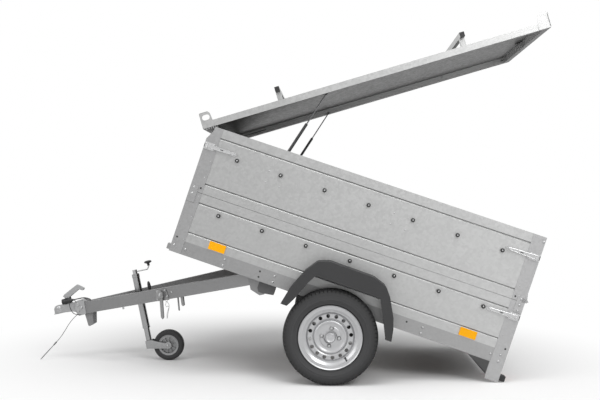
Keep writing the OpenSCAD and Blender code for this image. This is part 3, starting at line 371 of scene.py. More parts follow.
class Paint:
    """A procedural material: one Principled shader and the textures that feed it."""

    def __init__(self, name, colour, rough=0.5, metal=0.0, **sockets):
        self.material = bpy.data.materials.new(name)
        self.material.use_nodes = True
        self.tree = self.material.node_tree
        self.bsdf = self.tree.nodes["Principled BSDF"]
        self.set("Base Color", (*colour, 1))
        self.set("Roughness", rough)
        self.set("Metallic", metal)
        for socket, value in sockets.items():
            self.set(socket.replace("_", " "), value)
        self.coords = self.tree.nodes.new("ShaderNodeTexCoord").outputs["Object"]
        self.height = None

    def set(self, socket, value):
        """Gives one of the shader's sockets a value."""
        self.bsdf.inputs[socket].default_value = value

    def link(self, out, socket):
        """Feeds one of the shader's sockets from a node."""
        self.tree.links.new(out, self.bsdf.inputs[socket])

    def stretched(self, scale):
        """The object's coordinates, scaled along each axis."""
        node = self.tree.nodes.new("ShaderNodeMapping")
        node.inputs["Scale"].default_value = scale
        self.tree.links.new(self.coords, node.inputs["Vector"])
        return node.outputs["Vector"]

    def noise(self, scale, detail=3.0, coords=None):
        """Soft noise from 0 to 1."""
        node = self.tree.nodes.new("ShaderNodeTexNoise")
        node.inputs["Scale"].default_value = scale
        node.inputs["Detail"].default_value = detail
        self.tree.links.new(coords or self.coords, node.inputs["Vector"])
        return node.outputs["Fac"]

    def cells(self, scale, feature="F1"):
        """Random cells, for crystals, flakes, pressed mesh and prisms."""
        node = self.tree.nodes.new("ShaderNodeTexVoronoi")
        node.feature = feature
        node.inputs["Scale"].default_value = scale
        self.tree.links.new(self.coords, node.inputs["Vector"])
        return node

    def grey(self, colour_out):
        """One channel of a colour, as a number."""
        node = self.tree.nodes.new("ShaderNodeSeparateColor")
        self.tree.links.new(colour_out, node.inputs["Color"])
        return node.outputs["Red"]

    def span(self, factor, low, high):
        """The factor spread from low to high."""
        node = self.tree.nodes.new("ShaderNodeMapRange")
        node.inputs["To Min"].default_value = low
        node.inputs["To Max"].default_value = high
        self.tree.links.new(factor, node.inputs["Value"])
        return node.outputs["Result"]

    def math(self, operation, a, b):
        """Two numbers or outputs joined by an operation."""
        node = self.tree.nodes.new("ShaderNodeMath")
        node.operation = operation
        for value, socket in ((a, node.inputs[0]), (b, node.inputs[1])):
            if isinstance(value, (int, float)):
                socket.default_value = value
            else:
                self.tree.links.new(value, socket)
        return node.outputs[0]

    def blend(self, factor, one, two):
        """The two colours mixed by the factor."""
        node = self.tree.nodes.new("ShaderNodeMix")
        node.data_type = "RGBA"
        self.tree.links.new(factor, node.inputs["Factor"])
        for value, socket in ((one, node.inputs[6]), (two, node.inputs[7])):
            if isinstance(value, tuple):
                socket.default_value = (*value, 1)
            else:
                self.tree.links.new(value, socket)
        return node.outputs[2]

    def ramp(self, value, start, end):
        """0 where the value is at its start, 1 at its end."""
        node = self.tree.nodes.new("ShaderNodeMapRange")
        node.inputs["From Min"].default_value = start
        node.inputs["From Max"].default_value = end
        self.tree.links.new(value, node.inputs["Value"])
        return node.outputs["Result"]

    def painted_light_towards_rear(self):
        """0 at the drawbar and the box's front, 1 at its rear: the ramp of a painted light that brightens
        the sheet towards the rear.
        """
        split = self.tree.nodes.new("ShaderNodeSeparateXYZ")
        self.tree.links.new(self.coords, split.inputs[0])
        return self.ramp(split.outputs["X"], ZINC_FRONT_X, ZINC_REAR_X)

    def from_axle(self, start, end):
        """0 within one distance from the axle, 1 beyond another."""
        node = self.tree.nodes.new("ShaderNodeVectorMath")
        node.operation = "DISTANCE"
        self.tree.links.new(self.stretched((1, 0, 1)), node.inputs[0])
        node.inputs[1].default_value = (AXLE.x, 0, AXLE.z)
        return self.ramp(node.outputs["Value"], start, end)

    def on_foot_brace(self):
        """1 on the braces that run from the rear feet up to the rails, 0 elsewhere."""
        def along(axis):
            node = self.tree.nodes.new("ShaderNodeVectorMath")
            node.operation = "DOT_PRODUCT"
            self.tree.links.new(self.coords, node.inputs[0])
            node.inputs[1].default_value = axis
            return node.outputs["Value"], IN_BOX.translation.dot(axis)

        forward, front = along(IN_BOX.col[0].to_3d())
        up, lower_edge = along(IN_BOX.col[2].to_3d())
        post_edge = front - (BOX_L - POST_W) * MM
        return self.math("MINIMUM", self.ramp(forward, post_edge, post_edge + SOFT_EDGE),
                         self.ramp(up, lower_edge, lower_edge - SOFT_EDGE))

    def painted_underside_shade(self):
        """0 on faces that look up or sideways, 1 where they face the floor: the mask of a painted shade on
        undersides.
        """
        place = self.tree.nodes.new("ShaderNodeNewGeometry")
        split = self.tree.nodes.new("ShaderNodeSeparateXYZ")
        self.tree.links.new(place.outputs["Normal"], split.inputs[0])
        return self.ramp(split.outputs["Z"], SLIGHTLY_DOWN, NEARLY_STRAIGHT_DOWN)

    def bump(self, height, strength, distance):
        """Relief on top of what is there already."""
        node = self.tree.nodes.new("ShaderNodeBump")
        node.inputs["Strength"].default_value = strength
        node.inputs["Distance"].default_value = distance
        self.tree.links.new(height, node.inputs["Height"])
        if self.height:
            self.tree.links.new(self.height, node.inputs["Normal"])
        self.height = node.outputs["Normal"]
        self.link(self.height, "Normal")


def shade(colour, factor):
    """The colour made darker or lighter by a factor."""
    return tuple(min(1.0, c * factor) for c in colour)


def zinc(name, colour, spangle, rough, shade_braces=False):
    """Hot-dip zinc: crystals of slightly different greys and a soft cloud of dulling, with painted light
    towards the rear and painted shade underneath.
    """
    paint = Paint(name, colour, rough, 0.7)
    crystal = paint.grey(paint.cells(spangle).outputs["Color"])
    cloud = paint.noise(2.2, 4)
    tone = paint.math("ADD", paint.span(crystal, 0.0, 0.5), paint.span(cloud, 0.0, 0.5))
    # Painted light: the tone is darker towards the front and lighter towards the rear.
    front = paint.blend(tone, shade(colour, 0.78), shade(colour, 0.94))
    rear = paint.blend(tone, shade(colour, 1.10), shade(colour, 1.30))
    painted_light_tone = paint.blend(paint.painted_light_towards_rear(), front, rear)
    if shade_braces:
        # Painted shadow: the rear foot braces, set inboard under the rails, are painted near-black.
        painted_light_tone = paint.blend(paint.on_foot_brace(), painted_light_tone, shade(colour, 0.22))
    # Painted shade: faces that look down are painted far darker.
    paint.link(paint.blend(paint.painted_underside_shade(), painted_light_tone, shade(colour, 0.12)), "Base Color")
    paint.link(paint.span(crystal, rough - 0.05, rough + 0.07), "Roughness")
    paint.bump(paint.noise(900, 2), 0.12, 0.0004)
    paint.bump(cloud, 0.10, 0.004)
    return paint.material


def plastic(name, colour, rough, grain=900, depth=0.15):
    """Moulded plastic with a fine grain."""
    paint = Paint(name, colour, rough)
    cloud = paint.noise(7, 4)
    paint.link(paint.blend(cloud, shade(colour, 0.8), shade(colour, 1.25)), "Base Color")
    paint.link(paint.span(cloud, rough - 0.06, rough + 0.08), "Roughness")
    paint.bump(paint.noise(grain, 3), depth, 0.0006)
    return paint.material


def rubber(name, colour):
    """Dusty rubber."""
    paint = Paint(name, colour, 0.72)
    dust = paint.noise(14, 5)
    paint.link(paint.blend(dust, shade(colour, 0.75), shade(colour, 1.5)), "Base Color")
    paint.link(paint.span(dust, 0.62, 0.85), "Roughness")
    paint.bump(paint.noise(600, 4), 0.25, 0.0006)
    return paint.material


def road_rubber(name, colour):
    """Tyre rubber that is dusty on the sidewall and dark towards the tread."""
    paint = Paint(name, colour, 0.7)
    dust = paint.noise(11, 5)
    wall = paint.blend(dust, shade(colour, 0.9), shade(colour, 1.6))
    tread = paint.from_axle(WALL_ENDS, TREAD_STARTS)
    paint.link(paint.blend(tread, wall, shade(colour, 0.5)), "Base Color")
    paint.link(paint.span(dust, 0.6, 0.82), "Roughness")
    paint.bump(paint.noise(600, 4), 0.25, 0.0006)
    return paint.material


def lacquer(name, colour, rough, metal):
    """Sprayed paint with a clear coat and metal flakes."""
    paint = Paint(name, colour, rough, metal, Coat_Weight=0.4, Coat_Roughness=0.15)
    flake = paint.grey(paint.cells(1600).outputs["Color"])
    cloud = paint.noise(5, 3)
    tone = paint.math("ADD", paint.span(flake, 0, 0.4), paint.span(cloud, 0, 0.6))
    paint.link(paint.blend(tone, shade(colour, 0.88), shade(colour, 1.1)), "Base Color")
    paint.link(paint.span(cloud, rough - 0.05, rough + 0.07), "Roughness")
    return paint.material


def brushed(name, colour, rough):
    """Bare or plated steel with drawn streaks."""
    paint = Paint(name, colour, rough, 1.0)
    streak = paint.noise(40, 4, paint.stretched((1, 1, 12)))
    paint.link(paint.blend(streak, shade(colour, 0.82), shade(colour, 1.15)), "Base Color")
    paint.link(paint.span(streak, rough - 0.08, rough + 0.1), "Roughness")
    paint.bump(streak, 0.08, 0.0005)
    return paint.material


def film_plywood(name, colour):
    """Film-faced plywood: a fine pressed wire mesh in dark brown film."""
    paint = Paint(name, colour, 0.45)
    mesh = paint.cells(180, "DISTANCE_TO_EDGE").outputs["Distance"]
    scuff = paint.noise(6, 6)
    paint.link(paint.blend(scuff, shade(colour, 0.75), shade(colour, 1.35)), "Base Color")
    paint.link(paint.span(scuff, 0.35, 0.6), "Roughness")
    paint.bump(mesh, 0.35, 0.0008)
    return paint.material


def lens(name, colour, cell):
    """Moulded lens with prisms behind a smooth face."""
    paint = Paint(name, colour, 0.3, Coat_Weight=0.15, Coat_Roughness=0.1, Specular_IOR_Level=0.12)
    prism = paint.cells(cell, "DISTANCE_TO_EDGE").outputs["Distance"]
    prism_glint = paint.span(prism, 0.0, 1.0)
    # Painted highlight: each prism is painted lighter towards its middle and darker at its edges.
    paint.link(paint.blend(prism_glint, shade(colour, 0.9), shade(colour, 1.2)), "Base Color")
    paint.bump(prism, 0.5, 0.001)
    return paint.material


SLOTS = {
    "zinc": zinc("zinc_sheet", (0.435, 0.437, 0.435), 75, 0.40),
    "zinc_dark": zinc("zinc_frame", (0.315, 0.315, 0.316), 110, 0.46),
    "floor_wood": film_plywood("film_plywood", (0.075, 0.045, 0.028)),
    "black_plastic": plastic("black_plastic", (0.016, 0.016, 0.017), 0.42),
    "guard_plastic": plastic("guard_plastic", (0.025, 0.025, 0.026), 0.65, 1400, 0.3),
    "reflector": lens("reflector", (1.0, 0.43, 0.0), 420),
    "lamp_lens": lens("lamp_lens", (0.62, 0.015, 0.012), 260),
    "wheel_silver": lacquer("wheel_silver", (0.48, 0.482, 0.49), 0.34, 0.75),
    "bright_steel": brushed("bright_steel", (0.44, 0.443, 0.445), 0.3),
    "tyre_rubber": rubber("tyre_rubber", (0.026, 0.026, 0.027)),
    "black_paint": lacquer("black_paint", (0.014, 0.014, 0.015), 0.3, 0.0),
    "chrome_rod": brushed("chrome_rod", (0.16, 0.16, 0.165), 0.2),
    "block_rubber": rubber("block_rubber", (0.020, 0.020, 0.021)),
}

slot_of = {row["node"]: row["material_slot"] for row in frame["record"]["subparts"]}
for name, obj in nodes.items():
    obj.data.materials.clear()
    obj.data.materials.append(SLOTS[slot_of[name]])


# Box: bolts, rivets, drillings painted as dark discs of shade, corner plates and knobs, at u back from the
# front and v up

BOARD_Y = 565
POST_Y = 567
SUNK = 0.2
POST_BOLTS = [(20, 41), (24, 403), (22, 364), (2023, 51), (2022, 10), (2049, 747)]
PLATE_BOLTS = [(2033, 394), (2033, 359), (2033, 324)]
RAIL_BOLTS = [(91, 37), (331, 55), (330, 19), (640, 58), (640, 20), (1550, 55), (1550, 19), (1966, 40)]
POST_RIVETS = [(66, 357), (63, 474), (63, 231), (63, 91), (1996, 764), (1996, 573), (1998, 464),
               (1998, 164), (67, 574), (2036, 760)]
BOARD_DIMPLES = [(412, 631), (413, 562), (500, 559), (409, 704), (1183, 631), (1183, 562), (1270, 559),
                 (130, 295), (1930, 295)]
POST_HOLES = [(21, 92), (22, 331), (63, 407), (1994, 400), (2037, 92)]
RAIL_HOLES = [(550, 56), (552, 23), (1452, 56)]
PLATE_V = 362
PLATE_W = 50
PLATE_H = 100
PLATE_T = 3
POST_HEAD = dome(7.5, 5)
RAIL_HEAD = dome(7, 4.5)
RIVET_HEAD = dome(3.6, 1.6)
DIMPLE = dome(4.5, 1.2)
# Drillings are not cut: each has a floor painted dark as the hole's shade, within a raised burr.
HOLE = [(0, 0.1), (4.0, 0.1), (4.6, 0.45), (5.4, 0.45), (5.8, 0)]  # a dark floor within a raised burr

# Small angles stand out of the front beam at both its ends.
ANGLE_W = 21
ANGLE_H = 34
ANGLE_DEPTH = 30
ANGLE_AT = (8, 536, 24)

bolts = Shape(IN_BOX)
hole_shades = Shape(IN_BOX)
plates = Shape(IN_BOX)
angles = Shape(IN_BOX)
for side in SIDES:
    for places, out, head in ((POST_BOLTS, POST_Y, POST_HEAD), (PLATE_BOLTS, POST_Y + PLATE_T, POST_HEAD),
                              (RAIL_BOLTS, BOARD_Y, RAIL_HEAD), (POST_RIVETS, POST_Y, RIVET_HEAD),
                              (BOARD_DIMPLES, BOARD_Y, DIMPLE)):
        for u, v in places:
            bolts.lathe(head, side @ on_face(-u, out, v), 16)
    for places, out in ((POST_HOLES, POST_Y), (RAIL_HOLES, BOARD_Y)):
        for u, v in places:
            hole_shades.lathe(HOLE, side @ on_face(-u, out, v), 16)
    for u in (PLATE_W / 2, BOX_L - PLATE_W / 2):
        at = side @ on_face(-u, POST_Y - SUNK, PLATE_V)
        plates.prism(rounded(PLATE_W, PLATE_H, 4), PLATE_T + SUNK, at, 0.8)
    angles.prism(rounded(ANGLE_W, ANGLE_H, 2), ANGLE_DEPTH, side @ on_face(*ANGLE_AT), 1)
angles.make("front_corner_angles", "box", "zinc_dark")
bolts.make("box_bolts", "box", "bright_steel")
hole_shades.make("box_drilling_shades", "box", "black_plastic")
plates.make("corner_plates", "box", "zinc_dark")

KNOBS = 7
KNOB_ROWS = (285, 627)
FIRST_KNOB = 215
LAST_KNOB_TO_REAR = 219
KNOB_PITCH = (BOX_L - FIRST_KNOB - LAST_KNOB_TO_REAR) / (KNOBS - 1)
KNOB_BODY = [(6, 0), (6, 4.5), (8.5, 6), (11.4, 7), (12, 8.4), (12, 12.5), (11.2, 14.8), (9.4, 16.6),
             (7.4, 17), (6.4, 16.2), (5.9, 13), (0, 13)]
KNOB_SCREW = [(5.4, 13), (5.2, 14.2), (3.6, 15.4), (0, 15.9)]
knobs = Shape(IN_BOX)
screws = Shape(IN_BOX)
for side in SIDES:
    for v in KNOB_ROWS:
        for i in range(KNOBS):
            at = side @ on_face(-(FIRST_KNOB + i * KNOB_PITCH), BOARD_Y, v)
            knobs.lathe(KNOB_BODY, at, 24)
            screws.lathe(KNOB_SCREW, at, 16)
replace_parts(knobs.make("knob_bodies", "box", "black_plastic"), "tarp_knobs")
screws.make("knob_screws", "box", "bright_steel")


# Latches: rivets, pivot heads and the wire bail that draws the hook

# Measured from the box's end inwards: first the plate, last the lever's tip.
FRONT_LATCH_V = 657
REAR_LATCH_ROWS = (286, 650)
PLATE_FACE = 2.4
LEVER_FACE = 14
LATCH_RIVETS = [(7, 15), (7, -15), (57, 15), (57, -15)]
PIVOT_HEAD = [(4.6, 0), (4.6, 2), (3.6, 3), (0, 3)]
PIVOT_U = 20
PIVOT_OUT = 13
PIVOT_ENDS = (13, -16)
WIRE_R = 1.7
WIRE_OUT = 15.6
LATCH_WIRE = [(20, 12), (60, 10.5), (120, 8.5), (176, 6), (188, 4), (192, 0), (188, -4), (176, -6),
              (120, -8.5), (60, -10.5), (20, -12)]
LEVER_RIB_U = 60
LEVER_SLOT_U = 112
PLATE_SLOT_U = 2.5
latch_parts = Shape(IN_BOX)
slot_shades = Shape(IN_BOX)
for side in SIDES:
    latch_places = [(0, FRONT_LATCH_V, -1)] + [(-BOX_L, v, 1) for v in REAR_LATCH_ROWS]
    for x, v, forward in latch_places:
        at = side @ on_face(x, POST_Y, v) @ Matrix.Diagonal((forward, 1, 1, 1))
        for px, py in LATCH_RIVETS:
            latch_parts.lathe(dome(3.4, 1.8), at @ shift(px, py, PLATE_FACE), 12)
        for py in PIVOT_ENDS:
            latch_parts.lathe(PIVOT_HEAD, at @ shift(PIVOT_U, py, PIVOT_OUT) @ turn(-90, "X"), 16)
        latch_parts.tube([(px, py, WIRE_OUT) for px, py in LATCH_WIRE], WIRE_R, at)
        latch_parts.prism(rounded(56, 3.4, 1.6), 1.2, at @ shift(LEVER_RIB_U, 0, LEVER_FACE), 0.5)
        # The slots are not cut: thin black plates stand in for them, as painted shade.
        slot_shades.prism(rounded(20, 5, 2.4), 0.4, at @ shift(LEVER_SLOT_U, 0, LEVER_FACE - SUNK))
        slot_shades.prism(rounded(4, 26, 1.8), 0.4, at @ shift(PLATE_SLOT_U, 0, PLATE_FACE))
latch_parts.make("latch_fittings", "box", "bright_steel")
slot_shades.make("latch_slot_shades", "box", "black_plastic")


# Rear lamps: black frames around the lenses, the seams between them, and amber indicators

POST_SHEET = 2
POST_FOLD = 40
LAMP_HALF = 100
LAMP_GAP = 8
LAMP_FRONT = 30
LAMP_Y = POST_Y - POST_SHEET - POST_FOLD - LAMP_HALF - LAMP_GAP
LAMP_V = -60
LAMP_EDGE = 31.4
LAMP_SEAMS = (-96, -34, 30, 96)
SEAM_DEPTH = 25.2
INDICATOR_ACROSS = 64
lamp_rims = Shape(IN_BOX)
lamp_lights = Shape(IN_BOX)
for side in SIDES:
    at = side @ shift(-BOX_L + LAMP_FRONT, LAMP_Y, LAMP_V) @ turn(-90, "Y")
    for edge in (-LAMP_EDGE, LAMP_EDGE):
        lamp_rims.prism(rounded(5, 186, 2), SEAM_DEPTH, at @ shift(edge, 0, 0), 1)
    for across in LAMP_SEAMS:
        lamp_rims.prism(rounded(64, 3.2, 1.2), SEAM_DEPTH, at @ shift(0, across, 0.6), 0.8)
    lamp_lights.prism(rounded(56, 56, 4), 1.6, at @ shift(0, INDICATOR_ACROSS, SEAM_DEPTH - SUNK), 1)
lamp_rims.make("lamp_rims", "box", "black_plastic")
lamp_lights.make("lamp_indicators", "box", "reflector")


# Wheels: tyres with tread, and the fittings of the rims

# The profiles give a radius and a distance out from the tyre's middle plane.
TRACK = middle("tyre_left").y
CROWN = [(0, 273), (33.5, 273), (43.5, 271), (54.5, 265), (63.5, 251)]
SIDEWALL = [(165.5, 36), (165.5, 49.4), (183.5, 49.7), (187, 52.5), (189.5, 56), (191, 58.3), (193.4, 58.7),
            (195.5, 58.4), (200, 60.6), (207, 63.6), (213, 65.8), (214.5, 66.9), (217, 66.9), (218.5, 66.4),
            (224, 67.2), (231, 67.5), (233.5, 67.1), (235, 66.2), (238, 66.2), (244, 65.1), (250, 62.8),
            (255, 58.5), (260, 51.5), (263.5, 44), (265.5, 34), (266, 20)]
BLOCKS = 70
BLOCK_SHARE = 0.84
GROOVE = 8
RIBS = [(-61, -41, 5), (-37, -15, -3), (-11, 11, 0), (15, 37, 3), (41, 61, -5)]  # from, to, lean


def crown(z):
    """Radius of the tread at a distance from the tyre's middle plane."""
    z = abs(z)
    for (z0, r0), (z1, r1) in zip(CROWN, CROWN[1:]):
        if z <= z1:
            return r0 + (r1 - r0) * (z - z0) / (z1 - z0)
    return CROWN[-1][1]


def tread_block(shape, z0, z1, start, end, lean):
    """One block of rubber between two angles; its far side leans ahead by some mm."""
    points, faces = [], []
    for depth in (GROOVE, 0):
        for kz in range(4):
            z = z0 + (z1 - z0) * kz / 3
            radius = crown(z) - depth
            lean_angle = lean * (kz / 3 - 0.5) / radius
            for ka in range(3):
                a = start + (end - start) * ka / 2 + lean_angle
                points.append((radius * math.cos(a), radius * math.sin(a), z))
    for kz in range(3):
        for ka in range(2):
            b = 12 + kz * 3 + ka  # the first 12 points are the block's foot
            faces.append([b, b + 1, b + 4, b + 3])
    rim = [0, 1, 2, 5, 8, 11, 10, 9, 6, 3]
    faces += [[a, b, b + 12, a + 12] for a, b in zip(rim, rim[1:] + rim[:1])]
    shape.add(points, faces, LEFT)


def ring_angle(degrees):
    """Angle of a wheel's fitting as the photograph shows it, turned into the wheel's own frame."""
    return math.radians(180 - degrees)


STUDS = 4
STUD_TURN = -8
STUD_R = 50
NUT_SEAT = [(13, 29.6), (12.6, 31.5), (10.6, 33.6)]
NUT_FOOT = 33
NUT_R = 10.6
NUT_H = 11.5
STUD_END = dome(5.6, 3)
STUD_OUT = 43.5
RIDGE = [(99.5, 21.5), (97, 27), (94, 32.4), (90.5, 35.3), (86.5, 36), (83, 34.8), (79, 32.2), (73, 30.3),
         (65, 29.7)]
FLANGE_BEAD = [(171.4, 52.8), (170.6, 54), (168.6, 54), (167.8, 52.8)]
PRESSING = [(35, 29.4), (36, 32.5), (38.5, 34.4), (44, 34.9), (55, 34.9), (60, 34.2), (62.6, 32),
            (63.4, 29.4)]
PRESSING_AFTER_STUD = 76
PRESSING_ARC = 62
CAP = [(30.2, 45), (30.2, 49), (29.4, 51.5), (27.4, 55), (25.6, 58), (22.8, 59), (20.6, 57.4), (14, 56.4),
       (6, 56.3), (5, 57), (0, 57)]
VALVE = [(5.6, 0), (5.2, 8), (3.8, 11), (3.6, 22), (4.2, 23), (4.2, 33), (3, 34.5), (0, 34.5)]
VALVE_R = 146
VALVE_OUT = 24
VALVE_ANGLE = ring_angle(-55)
VALVE_LEAN = 24
for name, side in (("left", LEFT), ("right", RIGHT)):
    body = "wheel_" + name
    place = Matrix.Translation((AXLE.x, 0, AXLE.z)) @ side @ on_face(0, TRACK, 0)
    tyre = Shape(place)
    tyre.lathe(SIDEWALL + [(r, -z) for r, z in reversed(SIDEWALL)], sides=140)
    pitch = math.tau / BLOCKS
    for row, (z0, z1, lean) in enumerate(RIBS):
        for i in range(BLOCKS):
            start = (i + 0.5 * (row % 2)) * pitch
            tread_block(tyre, z0, z1, start, start + pitch * BLOCK_SHARE, lean)
    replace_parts(tyre.make("road_tyre_" + name, body, "tyre_rubber"), "tyre_" + name)
    trim = Shape(place)
    trim.lathe(RIDGE, sides=96)
    trim.sweep(FLANGE_BEAD, 0, 360, steps=96)
    for half in (0, 180):
        first = 180 - (STUD_TURN + PRESSING_AFTER_STUD + half)
        trim.sweep(PRESSING, first, first + PRESSING_ARC, steps=18)
    trim.lathe(CAP, sides=48)
    trim.make("rim_trim_" + name, body, "wheel_silver")
    nuts = Shape(place)
    for i in range(STUDS):
        a = ring_angle(STUD_TURN + 360 / STUDS * i)
        at = shift(STUD_R * math.cos(a), STUD_R * math.sin(a), 0)
        nuts.lathe(NUT_SEAT, at, 24)
        nuts.prism(hexagon(NUT_R), NUT_H, at @ shift(0, 0, NUT_FOOT), 2.2)
        nuts.lathe(STUD_END, at @ shift(0, 0, STUD_OUT), 16)
    nuts.make("wheel_nuts_" + name, body, "bright_steel")
    valve = Shape(place)
    at = shift(VALVE_R * math.cos(VALVE_ANGLE), VALVE_R * math.sin(VALVE_ANGLE), VALVE_OUT)
    valve.lathe(VALVE, at @ Matrix.Rotation(VALVE_ANGLE, 4, "Z") @ turn(VALVE_LEAN, "Y"), 16)
    valve.make("wheel_valve_" + name, body, "black_plastic")


# Jockey wheel: ribs and rings of its rim, axle nuts, and collars of its tube

JOCKEY = 859
TUBE_COLLARS = ([(24, 196), (25.4, 197), (25.4, 213), (24, 214)],
                [(24, -144.8), (25, -143.5), (25, -132), (24, -131)])
JOCKEY_WHEEL = (734, 0, -283)
RIM_RIBS = 10
RIM_RIB_R = 38
RIM_HUB = [(27, 6), (26, 17), (23, 20.5), (18.4, 21)]
RIM_RING = [(58, 16.5), (56, 20.6), (52.5, 21.6), (51, 18), (51, 6)]
AXLE_WASHER = [(11, 35.2), (11, 36.8), (9, 37), (0, 37)]
AXLE_NUT_OUT = 36.6
AXLE_END_OUT = 44.2
ribs = Shape(IN_DRAWBAR)
caps = Shape(IN_DRAWBAR)
for side in SIDES:
    at = side @ on_face(*JOCKEY_WHEEL)
    for i in range(RIM_RIBS):
        rib_at = at @ turn(360 / RIM_RIBS * i, "Z") @ shift(RIM_RIB_R, 0, 5)
        ribs.prism(rounded(31, 3, 1.4), 17.5, rib_at, 1)
    ribs.lathe(RIM_HUB, at, 40)
    ribs.lathe(RIM_RING, at, 64)
    caps.lathe(AXLE_WASHER, at, 24)
    caps.prism(hexagon(9.6), 8, at @ shift(0, 0, AXLE_NUT_OUT), 1.6)
    caps.lathe(dome(5.4, 2.4), at @ shift(0, 0, AXLE_END_OUT), 16)
ribs.make("jockey_wheel_ribs", "jockey_wheel", "wheel_silver")
caps.make("jockey_axle_nuts", "jockey_fork", "bright_steel")
collar = Shape(IN_DRAWBAR)
for profile in TUBE_COLLARS:
    collar.lathe(profile, shift(JOCKEY, 0, 0), 40)
collar.make("jockey_collars", "drawbar", "zinc_dark")


# Drawbar: bolts of the coupling, the pivot and the lock, at s ahead of the pivot and n up

ARM_Y = 490
ARM_START = 62
ARM_TIP_Y = 42
ARM_TIP = 1204
ARM_ANGLE = math.degrees(math.atan2(ARM_Y - ARM_TIP_Y, ARM_TIP - ARM_START))
ARM_OUT = 20
CHEEK_Y = 66
PIVOT_Y = 510
COUPLING_BOLTS = [(1256, 98), (1236, 76), (1262, 60)]
PIVOT_BOLTS = [(40, 100), (8, 12)]
LOCK_BOLTS = [(608, 92), (660, 92), (600, 52), (668, 44)]
LOCK_PLATE_OUT = 5
LOCK_PIN = (634, 70)
LOCK_PIN_OUT = 26
ARM_RIVET = (569, 74)
CABLE_CLIP = (928, 27)


def arm_y(s):
    """How far out the left arm's middle is, at s ahead of the pivot."""
    return ARM_Y - (s - ARM_START) * math.tan(math.radians(ARM_ANGLE))


def on_arm(s, n):
    """A frame on the outer face of the left arm."""
    return shift(s, arm_y(s), 0) @ turn(-ARM_ANGLE, "Z") @ on_face(0, ARM_OUT, n)


def hex_bolt(shape, at, radius, height):
    """A washer with a hexagonal head on it."""
    shape.lathe([(radius * 1.3, 0), (radius * 1.3, 1.2), (radius * 1.1, 1.8)], at, 24)
    shape.prism(hexagon(radius), height, at @ shift(0, 0, 1.5), radius * 0.2)


fittings = Shape(IN_DRAWBAR)
for side in SIDES:
    for s, n in COUPLING_BOLTS:
        hex_bolt(fittings, side @ on_face(s, CHEEK_Y, n), 7.4, 6)
    for s, n in PIVOT_BOLTS:
        fittings.lathe(dome(7, 4), side @ on_face(s, PIVOT_Y, n), 16)
for s, n in LOCK_BOLTS:
    hex_bolt(fittings, on_arm(s, n) @ shift(0, 0, LOCK_PLATE_OUT), 6.4, 5)
hex_bolt(fittings, on_arm(*LOCK_PIN) @ shift(0, 0, LOCK_PIN_OUT), 9, 7)
fittings.lathe(dome(6, 4), on_arm(*ARM_RIVET), 16)
fittings.prism(rounded(14, 16, 3), 3, on_arm(*CABLE_CLIP) @ shift(0, 0, -2), 1)
fittings.make("drawbar_bolts", "drawbar", "bright_steel")


# The spring clip of the lock hangs from a ring at the arm's lower edge

CLIP_AT = (612, 33.5)
CLIP_R = 1.5
CLIP_RING_R = 7
CLIP_RING_STEPS = 14
CLIP_RING_ANGLES = [math.tau * k / CLIP_RING_STEPS for k in range(CLIP_RING_STEPS + 1)]
CLIP_RING = [(CLIP_RING_R * math.cos(a), CLIP_RING_R * math.sin(a) - 6, 2) for a in CLIP_RING_ANGLES]
CLIP_WIRE = [(0, -12, 2), (9, -20, 2), (15, -34, 2), (8, -46, 2), (-3, -40, 2), (-8, -50, 2), (2, -64, 2),
             (12, -78, 2), (19, -96, 2), (24, -118, 2)]
CLIP_LEG = [(0, -12, 4.6), (-10, -22, 4.6), (-14, -38, 4.6), (-6, -60, 4.6), (6, -84, 4.6), (18, -112, 4.6)]
clip = Shape(IN_DRAWBAR)
for wire in (CLIP_RING, CLIP_WIRE, CLIP_LEG):
    clip.tube(wire, CLIP_R, on_arm(*CLIP_AT))
clip.make("lock_spring_clip", "drawbar", "bright_steel")


# Grip ribs and rings of the plug, and the wire ring between the plug and the coupling's handle

PLUG_AT = (1300, 33, 137)
PLUG_RINGS = ([(16.6, 12), (18.6, 13), (18.6, 19), (16.6, 20)],
              [(16.6, 58), (18.2, 59), (18.2, 65.6), (13, 66.4), (12, 66.2)])
GRIP_RIBS = 14
GRIP_RIB_AT = (0, 16.2, 39)
SPRING_RING = [(1322, 10, 121), (1330, 15.4, 158), (1350, 15.6, 158), (1363, 15.6, 147), (1364, 15.6, 130),
               (1352, 15.4, 119), (1340, 12, 117)]
SPRING_RING_R = 1.3
plug = Shape(IN_DRAWBAR)
along_plug = shift(*PLUG_AT) @ turn(90, "Y")
for profile in PLUG_RINGS:
    plug.lathe(profile, along_plug, 40)
for i in range(GRIP_RIBS):
    at = along_plug @ turn(360 * i / GRIP_RIBS, "Z") @ shift(*GRIP_RIB_AT) @ turn(-90, "X")
    plug.prism(rounded(3, 34, 1.2), 2.4, at, 0.8)
plug.make("plug_ribs", "drawbar", "black_plastic")
ring = Shape(IN_DRAWBAR)
ring.tube(SPRING_RING, SPRING_RING_R)
ring.make("handle_spring_ring", "drawbar", "bright_steel")


# Lid: drain slots painted as black plates of shade and hinge bolts under its rail, and brackets, rivets and
# seal strips inside it

INNER_RAIL = 527
RAIL_MIDDLE = 547
BRACKET_Y = 560
RAIL_FOOT = 6
DRAIN_SLOTS = (-665, -1315)
INNER_BRACKETS = (-404, -1534)
INNER_BRACKET_Z = 33
SEAL_STRIPS = ((-130, 168), (-1995, 62))  # middle, length
SEAL_Z = 26
RAIL_RIVETS = (-250, -500, -750, -1000, -1250, -1500, -1750)
RIVET_Z = 14
HINGE_BOLTS = (14, 27, 40, 54)
HINGE_BOLT = [(4.6, -1), (4.6, 2.5), (2.8, 3), (2.8, 9), (0, 9.6)]
lid_slot_shades = Shape(IN_LID)
lid_brackets = Shape(IN_LID)
lid_seals = Shape(IN_LID)


def inside_rail(side, x, z):
    """A frame on the rail's inner face, its z inwards."""
    return side @ on_face(x, INNER_RAIL, z) @ turn(180, "Y")


